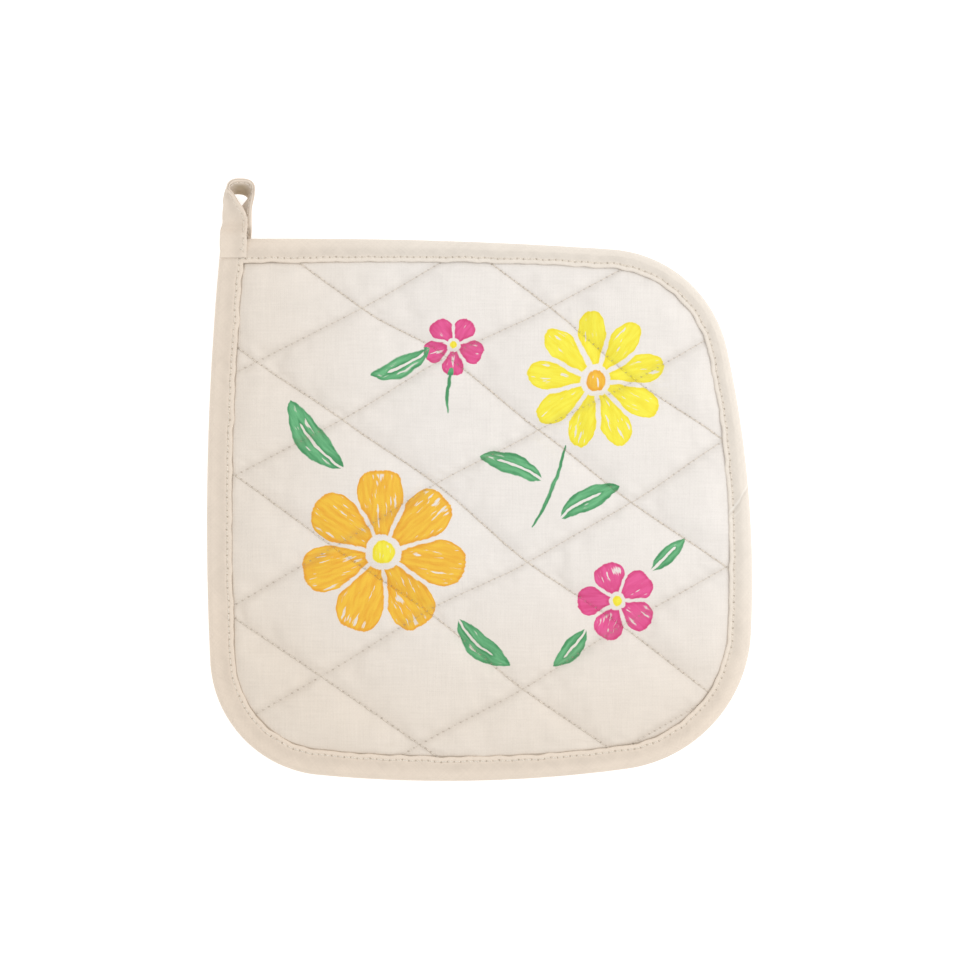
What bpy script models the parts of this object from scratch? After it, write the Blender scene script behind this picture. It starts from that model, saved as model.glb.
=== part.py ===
"""A quilted pot holder, lying face up: a padded square sewn in diamonds, a folded strip that binds
its edge, and a hanging loop of the same strip, sewn to the one square corner.

Metres, +Z up. The printed face looks up, +Y runs towards the loop. The origin is on the table under
the middle of the whole outline, loop included.
"""

import collections
import math

import bmesh
import bpy
from mathutils import Vector

# ---- Driving sizes -------------------------------------------------------------------------

GAP = 0.0003                 # clear space that every piece keeps to its neighbour
SHARP_ANGLE = math.radians(40)       # edges sharper than this are shaded as creases

# The edge of the pot holder, clockwise from the loop's corner: the centre and radius of each corner's
# round, and the radius of the long arc that runs on to the next round and touches both. The loop's
# corner is square, so its round has no radius. The binding changes its width between the corners.
CORNERS = (
    dict(x=-0.0963, y=0.0896, radius=0.0, side_radius=1.650, binding=0.0092),
    dict(x=0.0460, y=0.0390, radius=0.0470, side_radius=0.400, binding=0.0072),
    dict(x=0.0475, y=-0.0545, radius=0.0535, side_radius=0.500, binding=0.0088),
    dict(x=-0.0560, y=-0.0655, radius=0.0445, side_radius=1.050, binding=0.0094),
)
SIDE_STEPS = 11              # spans along each side
ROUND_STEPS = 14             # spans around each round corner

# The binding: a strip folded over the edge, two cloths thick above and below.
LEAF = 0.0011                # thickness of one leaf of the binding
LEAF_ROUND = 0.0004          # rounding of a leaf's free edge
FOLD_ROUND = 0.0022          # how far the folded edge rounds in
FOLD_STEPS = 6
STITCH_INSET = 0.0018        # the binding's stitches run this far from its inner edge
STITCH_DIP = 0.0003

# The padded square: pressed thin under the binding, sewn through along the seams, full between.
PRESSED = 0.0026
RIM_BEVEL = 0.0006
RIM_OVERLAP = 0.0025         # how far the pressed rim runs on into the padded square
SEAM_TOP = 0.0044            # height of the face in the seams
SEAM_UNDER = 0.0010          # height of the back in the seams
PUFF_TOP = 0.0070            # height of the face in the middle of a diamond
EDGE_FALL = 0.0150           # how far from the binding a diamond reaches its full height
FULLNESS = 2.6               # a higher power makes a flatter crown and a steeper seam
UNDER_FALL = 0.0026          # how quickly the back comes down to the table beside a seam
CUTTER_REACH = 0.01          # how far the square's cutter passes its face and back

# The quilting: two families of seams, each listed from the top of the square to the bottom. A seam
# is nearly straight: it has its height at the middle of the square, and its slope. The cloth has
# drawn the falling ones aside, by a little at each rising seam that they cross.
RISING_SEAMS = (
    dict(height=0.0889, slope=0.523),
    dict(height=0.0494, slope=0.533),
    dict(height=0.0056, slope=0.571),
    dict(height=-0.0394, slope=0.578),
    dict(height=-0.0859, slope=0.584),
    dict(height=-0.1310, slope=0.580),
)
FALLING_SEAMS = (
    dict(height=0.0835, slope=-0.775, drawn=(0.0, 0.0009, -0.0015, 0.0015, 0.0, 0.0)),
    dict(height=0.0340, slope=-0.725, drawn=(-0.0020, 0.0030, 0.0005, -0.0015, 0.0, 0.0)),
    dict(height=-0.0160, slope=-0.740, drawn=(-0.0015, 0.0005, 0.0024, -0.0015, 0.0008, 0.0)),
    dict(height=-0.0650, slope=-0.725, drawn=(0.0, 0.0008, 0.0005, 0.0020, -0.0012, 0.0)),
    dict(height=-0.1144, slope=-0.690, drawn=(0.0, 0.0, 0.0, 0.0005, 0.0005, 0.0)),
)
SPAN_LINES = (0.0, 0.05, 0.14, 0.32, 0.68, 0.86, 0.95)   # mesh lines from one seam to the next
FALLING_SPANS = (-2, 6)      # the seams between which the quilted cloth is laid out
RISING_SPANS = (-2, 6)

# The hanging loop: a folded strip leaves the face at the corner, turns over and comes back under
# it. It stands half on edge as it rises, so that its open side looks up and to the right, and its
# turn leans back towards the corner on its lower side.
LOOP_THICK = 0.0012
LOOP_WIDTH_FOOT = 0.0100
LOOP_WIDTH_TOP = 0.0094
LOOP_FOOT_Y = 0.0826         # where the strip's ends are sewn down
LOOP_LEAVES_Y = 0.0902       # where it leaves the corner, and its legs begin to close
LOOP_RISE_Y = 0.0910         # where it begins to stand on edge
LOOP_PINCH_Y = 0.0945        # where its two legs meet
LOOP_TURN_Y = 0.1054         # where its legs run into the turn
LOOP_TURN_UP = 0.0037        # how far the turn reaches beyond that
LOOP_SQUARE = 0.78           # the turn's corners are fuller than a circle's, whose value is 1
LOOP_FLARE = 1.6             # above 1, the legs stay close and open wide only near the turn
LOOP_FOOT_X = -0.09165
LOOP_TOP_X = -0.0896
LOOP_BOW = 0.00045           # half way up, the legs bow this far to the right
LOOP_LOWER_ASIDE = 0.0015    # how far the foot of the lower leg lies to the right of the upper one's
LOOP_HOLE = 0.0086           # clear width inside the loop
LOOP_TWIST = math.radians(77)
LOOP_SPREAD = math.radians(12)       # half way up, the upper leg is twisted this much less, the lower more
LOOP_LEAN = math.radians(33)
LOOP_TOP_Z = 0.0071          # height of the loop's middle above the table
LOOP_ARCH = 0.0010           # half way up, the legs arch this much higher
LOOP_EDGE = 0.0006           # rounding of the strip's edges
LEG_STEPS = 24
TURN_STEPS = 16
CORNER_LIFT = LOOP_THICK + GAP      # the corner lies on the strip's lower leg
LIFT_REACH = 0.040           # how far from the corner the cloth lies flat again

UNDER_LEAF_TOP = LEAF
PRESSED_UNDER = UNDER_LEAF_TOP + GAP
PRESSED_TOP = PRESSED_UNDER + PRESSED
UPPER_LEAF_UNDER = PRESSED_TOP + GAP
BINDING_TOP = UPPER_LEAF_UNDER + LEAF

LINEN = (0.86, 0.80, 0.72, 1.0)
LINEN_BINDING = (0.83, 0.76, 0.67, 1.0)


# ---- Helpers ---------------------------------------------------------------------------------

def clear_scene():
    for found in list(bpy.data.objects):
        bpy.data.objects.remove(found, do_unlink=True)


def new_collection(name):
    made = bpy.data.collections.new(name)
    bpy.context.scene.collection.children.link(made)
    return made


def cloth_material(name, colour, roughness):
    made = bpy.data.materials.new(name)
    made.use_nodes = True
    shader = made.node_tree.nodes["Principled BSDF"]
    shader.inputs["Base Color"].default_value = colour
    shader.inputs["Roughness"].default_value = roughness
    shader.inputs["Metallic"].default_value = 0.0
    made.diffuse_color = colour
    return made


def object_of(mesh_data, name, collection, material):
    """A new object whose mesh holds mesh_data, a bmesh, with its faces pointing outwards."""
    bmesh.ops.recalc_face_normals(mesh_data, faces=mesh_data.faces[:])
    mesh = bpy.data.meshes.new(name)
    mesh_data.to_mesh(mesh)
    mesh_data.free()
    mesh.shade_smooth()
    mesh.set_sharp_from_angle(angle=SHARP_ANGLE)
    made = bpy.data.objects.new(name, mesh)
    collection.objects.link(made)
    if material is not None:
        mesh.materials.append(material)
    return made


def smooth_step(value, low, high):
    """0 below low, 1 above high, and an even S between them."""
    share = min(1.0, max(0.0, (value - low) / (high - low)))
    return share * share * (3 - 2 * share)


def loft(rings, closed):
    """A bmesh skinned over rings of equally many points. An open one gets a flat cap at each end."""
    made = bmesh.new()
    loops = [[made.verts.new(point) for point in ring] for ring in rings]
    count = len(loops[0])
    pairs = list(zip(loops, loops[1:]))
    if closed:
        pairs.append((loops[-1], loops[0]))
    for one, two in pairs:
        for i in range(count):
            j = (i + 1) % count
            made.faces.new((one[i], one[j], two[j], two[i]))
    if not closed:
        made.faces.new(loops[0])
        made.faces.new(loops[-1])
    return made


# ---- The outline -----------------------------------------------------------------------------

Station = collections.namedtuple("Station", "place inwards width")


def side_centre(corner, following):
    """Centre of the long arc that touches the rounds of two corners from outside."""
    start = Vector((corner["x"], corner["y"]))
    chord = Vector((following["x"], following["y"])) - start
    from_start = corner["side_radius"] - corner["radius"]
    from_end = corner["side_radius"] - following["radius"]
    along = (from_start**2 - from_end**2 + chord.length_squared) / (2 * chord.length)
    aside = math.sqrt(from_start**2 - along**2)
    ahead = chord.normalized()
    return start + ahead * along + Vector((ahead.y, -ahead.x)) * aside


def arc(centre, radius, start, end, steps):
    """(place, way inwards) along a clockwise arc, from the way to start to the way to end."""
    first = math.atan2(*reversed(start - centre))
    turn = (first - math.atan2(*reversed(end - centre))) % (2 * math.pi)
    ways = [first - turn * k / steps for k in range(steps + 1)]
    ways = [Vector((math.cos(way), math.sin(way))) for way in ways]
    return [(centre + way * radius, -way) for way in ways]


def outline():
    """Stations round the edge of the pot holder, clockwise from the loop's corner.

    Each has its place, the step that leads in by one metre from the edge, and the binding's width.
    """
    sides = []
    for i, corner in enumerate(CORNERS):
        following = CORNERS[(i + 1) % len(CORNERS)]
        centre = side_centre(corner, following)
        touches = []
        for found in (corner, following):
            middle = Vector((found["x"], found["y"]))
            touches.append(middle + (middle - centre).normalized() * found["radius"])
        sides.append(arc(centre, corner["side_radius"], *touches, SIDE_STEPS))
    stations = []
    for i, corner in enumerate(CORNERS):
        width, next_width = corner["binding"], CORNERS[(i + 1) % len(CORNERS)]["binding"]
        before, after = sides[i - 1][-1], sides[i][0]
        if corner["radius"] == 0:
            # At the square corner the step is longer, so that the strip stays equally wide.
            inwards = (before[1] + after[1]).normalized()
            inwards /= inwards.dot(after[1])
            stations.append(Station(after[0], inwards, width))
        else:
            middle = Vector((corner["x"], corner["y"]))
            points = arc(middle, corner["radius"], before[0], after[0], ROUND_STEPS)
            stations += [Station(*point, width) for point in points]
        for k, point in enumerate(sides[i][1:-1], 1):
            share = smooth_step(k / SIDE_STEPS, 0, 1)
            stations.append(Station(*point, width + (next_width - width) * share))
    return stations


def inset(stations, beyond):
    """The closed line that runs this far inside the binding's inner edge."""
    return [station.place + station.inwards * (station.width + beyond) for station in stations]


def distance_inside(point, line):
    """How far a point lies from the nearest stretch of a closed line."""
    nearest = math.inf
    for i, end in enumerate(line):
        start = line[i - 1]
        along = end - start
        share = min(1.0, max(0.0, (point - start).dot(along) / along.length_squared))
        nearest = min(nearest, (point - start - along * share).length)
    return nearest


def is_inside(point, line):
    inside = False
    for i, end in enumerate(line):
        start = line[i - 1]
        if (start.y > point.y) != (end.y > point.y):
            crossing = start.x + (point.y - start.y) / (end.y - start.y) * (end.x - start.x)
            if point.x < crossing:
                inside = not inside
    return inside


def lift(x, y):
    """How far the cloth is raised near the loop's corner, where it lies on the strip's lower leg."""
    corner = Vector((CORNERS[0]["x"], CORNERS[0]["y"]))
    away = (Vector((x, y)) - corner).length
    covered = CORNERS[0]["y"] - LOOP_FOOT_Y + CORNERS[0]["binding"]
    return CORNER_LIFT * (1 - smooth_step(away, covered, LIFT_REACH))


# ---- The padded square -----------------------------------------------------------------------

def seam_at(seams, index):
    """Height and slope of the line at a seam number, which may lie between seams or past the last."""
    low = min(max(math.floor(index), 0), len(seams) - 2)
    share = index - low
    one, two = seams[low], seams[low + 1]
    return (
        one["height"] + (two["height"] - one["height"]) * share,
        one["slope"] + (two["slope"] - one["slope"]) * smooth_step(share, 0, 1),
    )


def drawn_aside(falling, rising):
    """How far the cloth has drawn the falling line aside where it crosses the rising line."""
    row = min(max(math.floor(falling), 0), len(FALLING_SEAMS) - 2)
    column = min(max(math.floor(rising), 0), len(RISING_SEAMS) - 2)
    down = smooth_step(falling - row, 0, 1)
    along = smooth_step(rising - column, 0, 1)
    upper, lower = FALLING_SEAMS[row]["drawn"], FALLING_SEAMS[row + 1]["drawn"]
    above = upper[column] * (1 - along) + upper[column + 1] * along
    below = lower[column] * (1 - along) + lower[column + 1] * along
    return above * (1 - down) + below * down


def crossing(falling, rising):
    """Where the falling line and the rising line of these seam numbers cross."""
    falling_height, falling_slope = seam_at(FALLING_SEAMS, falling)
    rising_height, rising_slope = seam_at(RISING_SEAMS, rising)
    x = (rising_height - falling_height) / (falling_slope - rising_slope)
    return Vector((x, rising_height + rising_slope * x + drawn_aside(falling, rising)))


def span_lines(spans):
    return [span + share for span in range(*spans) for share in SPAN_LINES] + [spans[1]]


def crown(index):
    """0 on a seam, 1 half way to the next."""
    return 1 - abs(2 * (index % 1) - 1) ** FULLNESS


def quilted_cloth(stations):
    """A bmesh of the whole quilted layer, seam by seam, reaching past the pot holder's edge."""
    falling = span_lines(FALLING_SPANS)
    rising = span_lines(RISING_SPANS)
    made = bmesh.new()
    bmesh.ops.create_grid(
        made, x_segments=len(falling) - 1, y_segments=len(rising) - 1, size=0.5
    )
    # create_grid makes its points row by row, x first, between -0.5 and 0.5.
    for point in made.verts:
        column = round((point.co.x + 0.5) * (len(falling) - 1))
        row = round((point.co.y + 0.5) * (len(rising) - 1))
        point.co = (falling[column], rising[row], 0)
    top = bmesh.ops.extrude_face_region(made, geom=made.faces[:], use_keep_orig=True)["geom"]
    raised = {found for found in top if isinstance(found, bmesh.types.BMVert)}
    binding_edge = inset(stations, 0)
    for point in made.verts:
        fullness = crown(point.co.x) * crown(point.co.y)
        place = crossing(point.co.x, point.co.y)
        inwards = distance_inside(place, binding_edge) if is_inside(place, binding_edge) else 0.0
        fullness *= 1 - (1 - min(1.0, inwards / EDGE_FALL)) ** FULLNESS
        if point in raised:
            height = SEAM_TOP + (PUFF_TOP - SEAM_TOP) * fullness
        else:
            height = max(0.0, SEAM_UNDER - UNDER_FALL * fullness)
        point.co = (place.x, place.y, height + lift(place.x, place.y))
    return made


def rings_round(stations, section_at):
    """At every station, the ring of its section, which lists (distance inwards, height) points."""
    rings = []
    for station in stations:
        ring = []
        for inwards, height in section_at(station.width):
            place = station.place + station.inwards * inwards
            ring.append((place.x, place.y, height + lift(place.x, place.y)))
        rings.append(ring)
    return rings


def pressed_section(width):
    """The rim of the square, pressed flat inside the binding, and reaching a little past it."""
    outer = LEAF + GAP
    inner = width + RIM_OVERLAP
    return (
        (outer + RIM_BEVEL, PRESSED_UNDER),
        (outer, PRESSED_UNDER + RIM_BEVEL),
        (outer, PRESSED_TOP - RIM_BEVEL),
        (outer + RIM_BEVEL, PRESSED_TOP),
        (inner, PRESSED_TOP),
        (inner, PRESSED_UNDER),
    )


def prism_curve(name, line, low, high, collection):
    """A filled flat curve around the line, thick enough to reach from low to high, made a mesh."""
    curve = bpy.data.curves.new(name, "CURVE")
    curve.dimensions = "2D"
    curve.fill_mode = "BOTH"
    curve.extrude = (high - low) / 2
    spline = curve.splines.new("POLY")
    spline.points.add(len(line) - 1)
    for control, point in zip(spline.points, line):
        control.co = (point.x, point.y, 0, 1)
    spline.use_cyclic_u = True
    flat = bpy.data.objects.new(name + "_curve", curve)
    flat.location.z = (low + high) / 2
    collection.objects.link(flat)
    bpy.context.view_layer.update()
    evaluated = flat.evaluated_get(bpy.context.evaluated_depsgraph_get())
    mesh = bpy.data.meshes.new_from_object(evaluated)
    mesh.transform(flat.matrix_world)
    bpy.data.objects.remove(flat, do_unlink=True)
    welded = bmesh.new()
    welded.from_mesh(mesh)
    bmesh.ops.remove_doubles(welded, verts=welded.verts, dist=0.00001)
    bpy.data.meshes.remove(mesh)
    return object_of(welded, name, collection, None)


def hide(helper):
    helper.hide_render = True
    helper.display_type = "WIRE"


def add_boolean(target, operation, other):
    modifier = target.modifiers.new(operation.title(), "BOOLEAN")
    modifier.operation = operation
    modifier.solver = "EXACT"
    modifier.object = other


def build_padded_square(stations, parts, cutters):
    square = object_of(
        quilted_cloth(stations), "quilted_square", parts, cloth_material("linen_face", LINEN, 0.85)
    )
    cutter = prism_curve(
        "square_cutter", inset(stations, GAP), -CUTTER_REACH, PUFF_TOP + CUTTER_REACH, cutters
    )
    rim = object_of(
        loft(rings_round(stations, pressed_section), closed=True), "pressed_rim", cutters, None
    )
    for helper in (cutter, rim):
        hide(helper)
    add_boolean(square, "INTERSECT", cutter)
    add_boolean(square, "UNION", rim)


# ---- The binding -----------------------------------------------------------------------------

def binding_section(width):
    """The folded strip, once round its section: over the face, round the fold, under and back."""
    middle = BINDING_TOP / 2
    ways = [math.pi * k / FOLD_STEPS for k in range(FOLD_STEPS + 1)]
    fold = [
        (FOLD_ROUND * (1 - math.sin(way)), middle * (1 + math.cos(way))) for way in ways
    ]
    return (
        (width, UPPER_LEAF_UNDER),
        (width, BINDING_TOP - LEAF_ROUND),
        (width - LEAF_ROUND, BINDING_TOP),
        (width - STITCH_INSET, BINDING_TOP - STITCH_DIP),
        (width / 2, BINDING_TOP),
        *fold,
        (width - LEAF_ROUND, 0.0),
        (width, LEAF_ROUND),
        (width, UNDER_LEAF_TOP),
        (LEAF + RIM_BEVEL, UNDER_LEAF_TOP),
        (LEAF, UNDER_LEAF_TOP + RIM_BEVEL),
        (LEAF, UPPER_LEAF_UNDER - RIM_BEVEL),
        (LEAF + RIM_BEVEL, UPPER_LEAF_UNDER),
    )


def build_binding(stations, parts):
    object_of(
        loft(rings_round(stations, binding_section), closed=True),
        "edge_binding",
        parts,
        cloth_material("linen_binding", LINEN_BINDING, 0.85),
    )


# ---- The hanging loop ------------------------------------------------------------------------

def loop_middle(y):
    """(share of the rise, middle of the loop, half the space between its legs) at this height."""
    rise = smooth_step(y, LOOP_RISE_Y, LOOP_TURN_Y)
    lower, upper = LOOP_THICK / 2, BINDING_TOP + CORNER_LIFT + GAP + LOOP_THICK / 2
    apart = (upper - lower) / 2
    touching = LOOP_THICK / 2 + GAP
    open_wide = (LOOP_HOLE + LOOP_THICK) / 2
    closing = smooth_step(y, LOOP_LEAVES_Y, LOOP_PINCH_Y)
    opening = min(1.0, max(0.0, (y - LOOP_PINCH_Y) / (LOOP_TURN_Y - LOOP_PINCH_Y)))
    half_gap = apart + (touching - apart) * closing
    half_gap += (open_wide - touching) * math.sin(math.pi / 2 * opening) ** LOOP_FLARE
    half_way = math.sin(math.pi * rise)
    middle = Vector((
        LOOP_FOOT_X + (LOOP_TOP_X - LOOP_FOOT_X) * rise + LOOP_BOW * half_way,
        y,
        (lower + upper) / 2 * (1 - rise) + LOOP_TOP_Z * rise + LOOP_ARCH * half_way,
    ))
    return rise, middle, half_gap


def loop_path():
    """(y, side) along the strip: side goes from 1, the upper leg, through the turn to -1, the lower."""
    leg = [LOOP_FOOT_Y + (LOOP_TURN_Y - LOOP_FOOT_Y) * k / LEG_STEPS for k in range(LEG_STEPS)]
    path = [(y, 1.0) for y in leg]
    for k in range(TURN_STEPS + 1):
        angle = math.pi * k / TURN_STEPS
        up, aside = abs(math.sin(angle)) ** LOOP_SQUARE, abs(math.cos(angle)) ** LOOP_SQUARE
        path.append((LOOP_TURN_Y + LOOP_TURN_UP * up, math.copysign(aside, math.cos(angle))))
    return path + [(y, -1.0) for y in reversed(leg)]


def loop_stations():
    """(centre of the strip, its way across, its width) along the loop."""
    stations = []
    for y, side in loop_path():
        rise, middle, half_gap = loop_middle(min(y, LOOP_TURN_Y))
        middle.y = y
        if side < 0:
            middle.x += LOOP_LOWER_ASIDE * (1 - rise)
        twist = LOOP_TWIST * rise
        apart = Vector((-math.sin(twist), 0, math.cos(twist)))
        own_twist = twist - LOOP_SPREAD * math.sin(math.pi * rise) * side
        lean = LOOP_LEAN * rise
        across = Vector((
            math.cos(own_twist) * math.cos(lean), math.sin(lean), math.sin(own_twist) * math.cos(lean)
        ))
        width = LOOP_WIDTH_FOOT + (LOOP_WIDTH_TOP - LOOP_WIDTH_FOOT) * rise
        stations.append((middle + apart * half_gap * side, across, width))
    return stations


def build_loop(parts):
    stations = loop_stations()
    rings = []
    for i, (centre, across, width) in enumerate(stations):
        along = stations[min(i + 1, len(stations) - 1)][0] - stations[max(i - 1, 0)][0]
        facing = across.cross(along).normalized()
        half, thick = width / 2, LOOP_THICK / 2
        section = (
            (-half, -thick / 2), (-half, thick / 2), (LOOP_EDGE - half, thick),
            (half - LOOP_EDGE, thick), (half, thick / 2), (half, -thick / 2),
            (half - LOOP_EDGE, -thick), (LOOP_EDGE - half, -thick),
        )
        rings.append([centre + across * u + facing * v for u, v in section])
    object_of(
        loft(rings, closed=False),
        "hanging_loop",
        parts,
        cloth_material("linen_loop", LINEN_BINDING, 0.85),
    )


def main():
    clear_scene()
    parts = new_collection("quilted_pot_holder")
    cutters = new_collection("cutters")
    stations = outline()
    build_padded_square(stations, parts, cutters)
    build_binding(stations, parts)
    build_loop(parts)


main()
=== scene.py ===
# %% [markdown]
# # A quilted pot holder
#
# The real thing is two cloths with padding between them, sewn through in diamonds. A strip of the
# same cloth is folded over the edge, and its end goes on as a hanging loop at the one square corner.
#
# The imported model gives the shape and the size. Here each piece gets a finer mesh in the same place:
# the padded square is swollen by a cloth simulation, the strips are folded from thin cloth, and every
# stitch is modelled. Then come the cloth's weave, the print, the light and the camera.

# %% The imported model
import math
import random

import bmesh
import bpy
import numpy as np
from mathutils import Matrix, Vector
from mathutils.bvhtree import BVHTree


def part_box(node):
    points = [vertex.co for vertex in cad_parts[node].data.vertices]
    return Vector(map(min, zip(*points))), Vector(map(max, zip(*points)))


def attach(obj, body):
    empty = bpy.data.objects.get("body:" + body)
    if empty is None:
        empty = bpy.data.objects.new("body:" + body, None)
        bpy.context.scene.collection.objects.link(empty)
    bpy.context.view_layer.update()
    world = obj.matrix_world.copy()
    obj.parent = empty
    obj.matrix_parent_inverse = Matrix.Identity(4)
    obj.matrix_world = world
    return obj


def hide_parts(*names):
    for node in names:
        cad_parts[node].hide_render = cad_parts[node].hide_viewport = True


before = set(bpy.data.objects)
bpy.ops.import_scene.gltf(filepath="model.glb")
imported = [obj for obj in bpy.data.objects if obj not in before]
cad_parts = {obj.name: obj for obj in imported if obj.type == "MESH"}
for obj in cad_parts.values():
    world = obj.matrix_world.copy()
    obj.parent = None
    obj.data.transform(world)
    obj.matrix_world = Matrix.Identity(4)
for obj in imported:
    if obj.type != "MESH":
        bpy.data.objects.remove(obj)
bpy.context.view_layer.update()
MM = 0.001
for name in sorted(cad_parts):
    low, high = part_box(name)
    print(name, "is", " x ".join(f"{side / MM:.1f}" for side in high - low), "mm")

# %% [markdown]
# ## Camera, floor and light
#
# The pot holder lies flat and is seen from straight above. A camera far away with a long lens keeps
# its sides from showing, as in a catalogue picture. The frame's width is a real size at the height of
# the cloth, so the lens follows from it. Lamps behind white screens could light it, as in a studio. A
# bright surround gives the same soft light with less to set up, and the floor glows a little like a
# light table, so there is hardly a shadow. One lamp at the right only tips the light, so that the
# quilting shows.

# %% Camera
FRAME_WIDTH = 0.3571
CAMERA_HEIGHT = 2.4
CLOTH_HEIGHT = 0.005
SENSOR_MM = 36.0

camera_data = bpy.data.cameras.new("camera")
camera_data.sensor_width = SENSOR_MM
camera_data.lens = SENSOR_MM * (CAMERA_HEIGHT - CLOTH_HEIGHT) / FRAME_WIDTH
camera = bpy.data.objects.new("camera", camera_data)
camera.location = (0, 0, CAMERA_HEIGHT)
bpy.context.scene.collection.objects.link(camera)
bpy.context.scene.camera = camera
bpy.context.scene.view_settings.view_transform = "Standard"
print(f"lens {camera_data.lens:.0f} mm")

# %% Floor
FLOOR_SIZE = 6.0
FLOOR_DROP = 0.0001          # the back lies on the floor without sharing its surface
FLOOR_WHITE = 0.97
FLOOR_GLOW = 0.30
PAPER_GRAIN = 400.0

bpy.ops.object.select_all(action="DESELECT")
bpy.ops.mesh.primitive_plane_add(size=FLOOR_SIZE, location=(0, 0, -FLOOR_DROP))
floor = bpy.context.object
floor.name = "floor"
floor_paint = bpy.data.materials.new("floor_paint")
floor_paint.use_nodes = True
floor_shader = floor_paint.node_tree.nodes["Principled BSDF"]
floor_shader.inputs["Base Color"].default_value = (FLOOR_WHITE, FLOOR_WHITE, FLOOR_WHITE, 1.0)
floor_shader.inputs["Emission Color"].default_value = (1.0, 1.0, 1.0, 1.0)
floor_shader.inputs["Emission Strength"].default_value = FLOOR_GLOW
paper = floor_paint.node_tree.nodes.new("ShaderNodeTexNoise")
paper.inputs["Scale"].default_value = PAPER_GRAIN
floor_paint.node_tree.links.new(paper.outputs[0], floor_shader.inputs["Roughness"])
floor.data.materials.append(floor_paint)
print(f"the floor is {FLOOR_SIZE:.0f} m across")

# %% Light
SURROUND = (1.0, 0.992, 0.980, 1.0)
SURROUND_STRENGTH = 1.0
LAMP_PLACE = Vector((0.46, 0.15, 0.46))
LAMP_SIZE = 0.4
LAMP_WATTS = 0.98
LAMP_COLOUR = (1.0, 1.0, 1.0)

world = bpy.data.worlds.new("surround")
bpy.context.scene.world = world
world.use_nodes = True
world.node_tree.nodes["Background"].inputs["Color"].default_value = SURROUND
world.node_tree.nodes["Background"].inputs["Strength"].default_value = SURROUND_STRENGTH
lamp_data = bpy.data.lights.new("lamp", "AREA")
lamp_data.shape = "SQUARE"
lamp_data.size = LAMP_SIZE
lamp_data.energy = LAMP_WATTS
lamp_data.color = LAMP_COLOUR
lamp = bpy.data.objects.new("lamp", lamp_data)
lamp.location = LAMP_PLACE
lamp.rotation_euler = (-LAMP_PLACE).to_track_quat("-Z", "Y").to_euler()
bpy.context.scene.collection.objects.link(lamp)
print(f"one lamp of {LAMP_WATTS} W, {LAMP_PLACE.length:.2f} m away")

# %% [markdown]
# ## The outline
#
# The edge is four long arcs, joined by three round corners and one square corner, which carries the
# loop. It could be drawn as a free curve, but a maker's paper pattern is drawn in arcs, and arcs give
# each place its exact way inwards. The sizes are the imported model's own, in metres. A station is a
# place on the edge, with the step that leads in from it by one metre and the width that the binding
# has there. At the square corner the steps fan out, so that the strip meets itself in a mitre.

# %% Sizes of the outline
CORNERS = (
    dict(x=-0.0963, y=0.0896, radius=0.0, side_radius=1.650, binding=0.0092),
    dict(x=0.0460, y=0.0390, radius=0.0470, side_radius=0.400, binding=0.0072),
    dict(x=0.0475, y=-0.0545, radius=0.0535, side_radius=0.500, binding=0.0088),
    dict(x=-0.0560, y=-0.0655, radius=0.0445, side_radius=1.050, binding=0.0094),
)
STATION_STEP = 0.0007

# %% Arcs


def smooth_step(value, low, high):
    """0 below low, 1 above high, and an even S between them."""
    share = np.clip((value - low) / (high - low), 0.0, 1.0)
    return share * share * (3 - 2 * share)


def side_centre(corner, following):
    """Centre of the long arc that touches the rounds of two corners from outside."""
    start = Vector((corner["x"], corner["y"]))
    chord = Vector((following["x"], following["y"])) - start
    from_start = corner["side_radius"] - corner["radius"]
    from_end = corner["side_radius"] - following["radius"]
    along = (from_start**2 - from_end**2 + chord.length_squared) / (2 * chord.length)
    aside = math.sqrt(from_start**2 - along**2)
    ahead = chord.normalized()
    return start + ahead * along + Vector((ahead.y, -ahead.x)) * aside


def arc(centre, radius, start, end):
    """(place, way inwards) along a clockwise arc, from the way to start to the way to end."""
    first = math.atan2(*reversed(start - centre))
    turn = (first - math.atan2(*reversed(end - centre))) % (2 * math.pi)
    steps = max(1, round(turn * radius / STATION_STEP))
    ways = [first - turn * k / steps for k in range(steps + 1)]
    ways = [Vector((math.cos(way), math.sin(way))) for way in ways]
    return [(centre + way * radius, -way) for way in ways]


# %% The stations


def outline():
    """(places, steps inwards, widths) of the stations, clockwise from the square corner."""
    sides = []
    for i, corner in enumerate(CORNERS):
        following = CORNERS[(i + 1) % len(CORNERS)]
        centre = side_centre(corner, following)
        touches = []
        for found in (corner, following):
            middle = Vector((found["x"], found["y"]))
            touches.append(middle + (middle - centre).normalized() * found["radius"])
        sides.append(arc(centre, corner["side_radius"], *touches))
    stations = []
    for i, corner in enumerate(CORNERS):
        width, next_width = corner["binding"], CORNERS[(i + 1) % len(CORNERS)]["binding"]
        before, after = sides[i - 1][-1], sides[i][0]
        if corner["radius"] == 0:
            mitre = (before[1] + after[1]).normalized()
            stations.append((after[0], mitre / mitre.dot(after[1]), width))
        else:
            middle = Vector((corner["x"], corner["y"]))
            points = arc(middle, corner["radius"], before[0], after[0])
            stations += [(*point, width) for point in points]
        steps = len(sides[i]) - 1
        for k, point in enumerate(sides[i][1:-1], 1):
            share = float(smooth_step(k / steps, 0, 1))
            stations.append((*point, width + (next_width - width) * share))
    return [np.array([station[k] for station in stations], float) for k in range(3)]


edge_places, edge_steps, edge_widths = outline()

# %% The mitre
MITRE_REACH = 0.012          # how far from the square corner the steps fan out

fanned = round(MITRE_REACH / STATION_STEP)
mitre_step = edge_steps[0].copy()
for side in (1, -1):
    last_step = edge_steps[side * fanned].copy()
    for k in range(fanned):
        edge_steps[side * k] = mitre_step + (last_step - mitre_step) * k / fanned
print(2 * fanned - 1, "steps fan out at the square corner")

# %% Lines and distances


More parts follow.
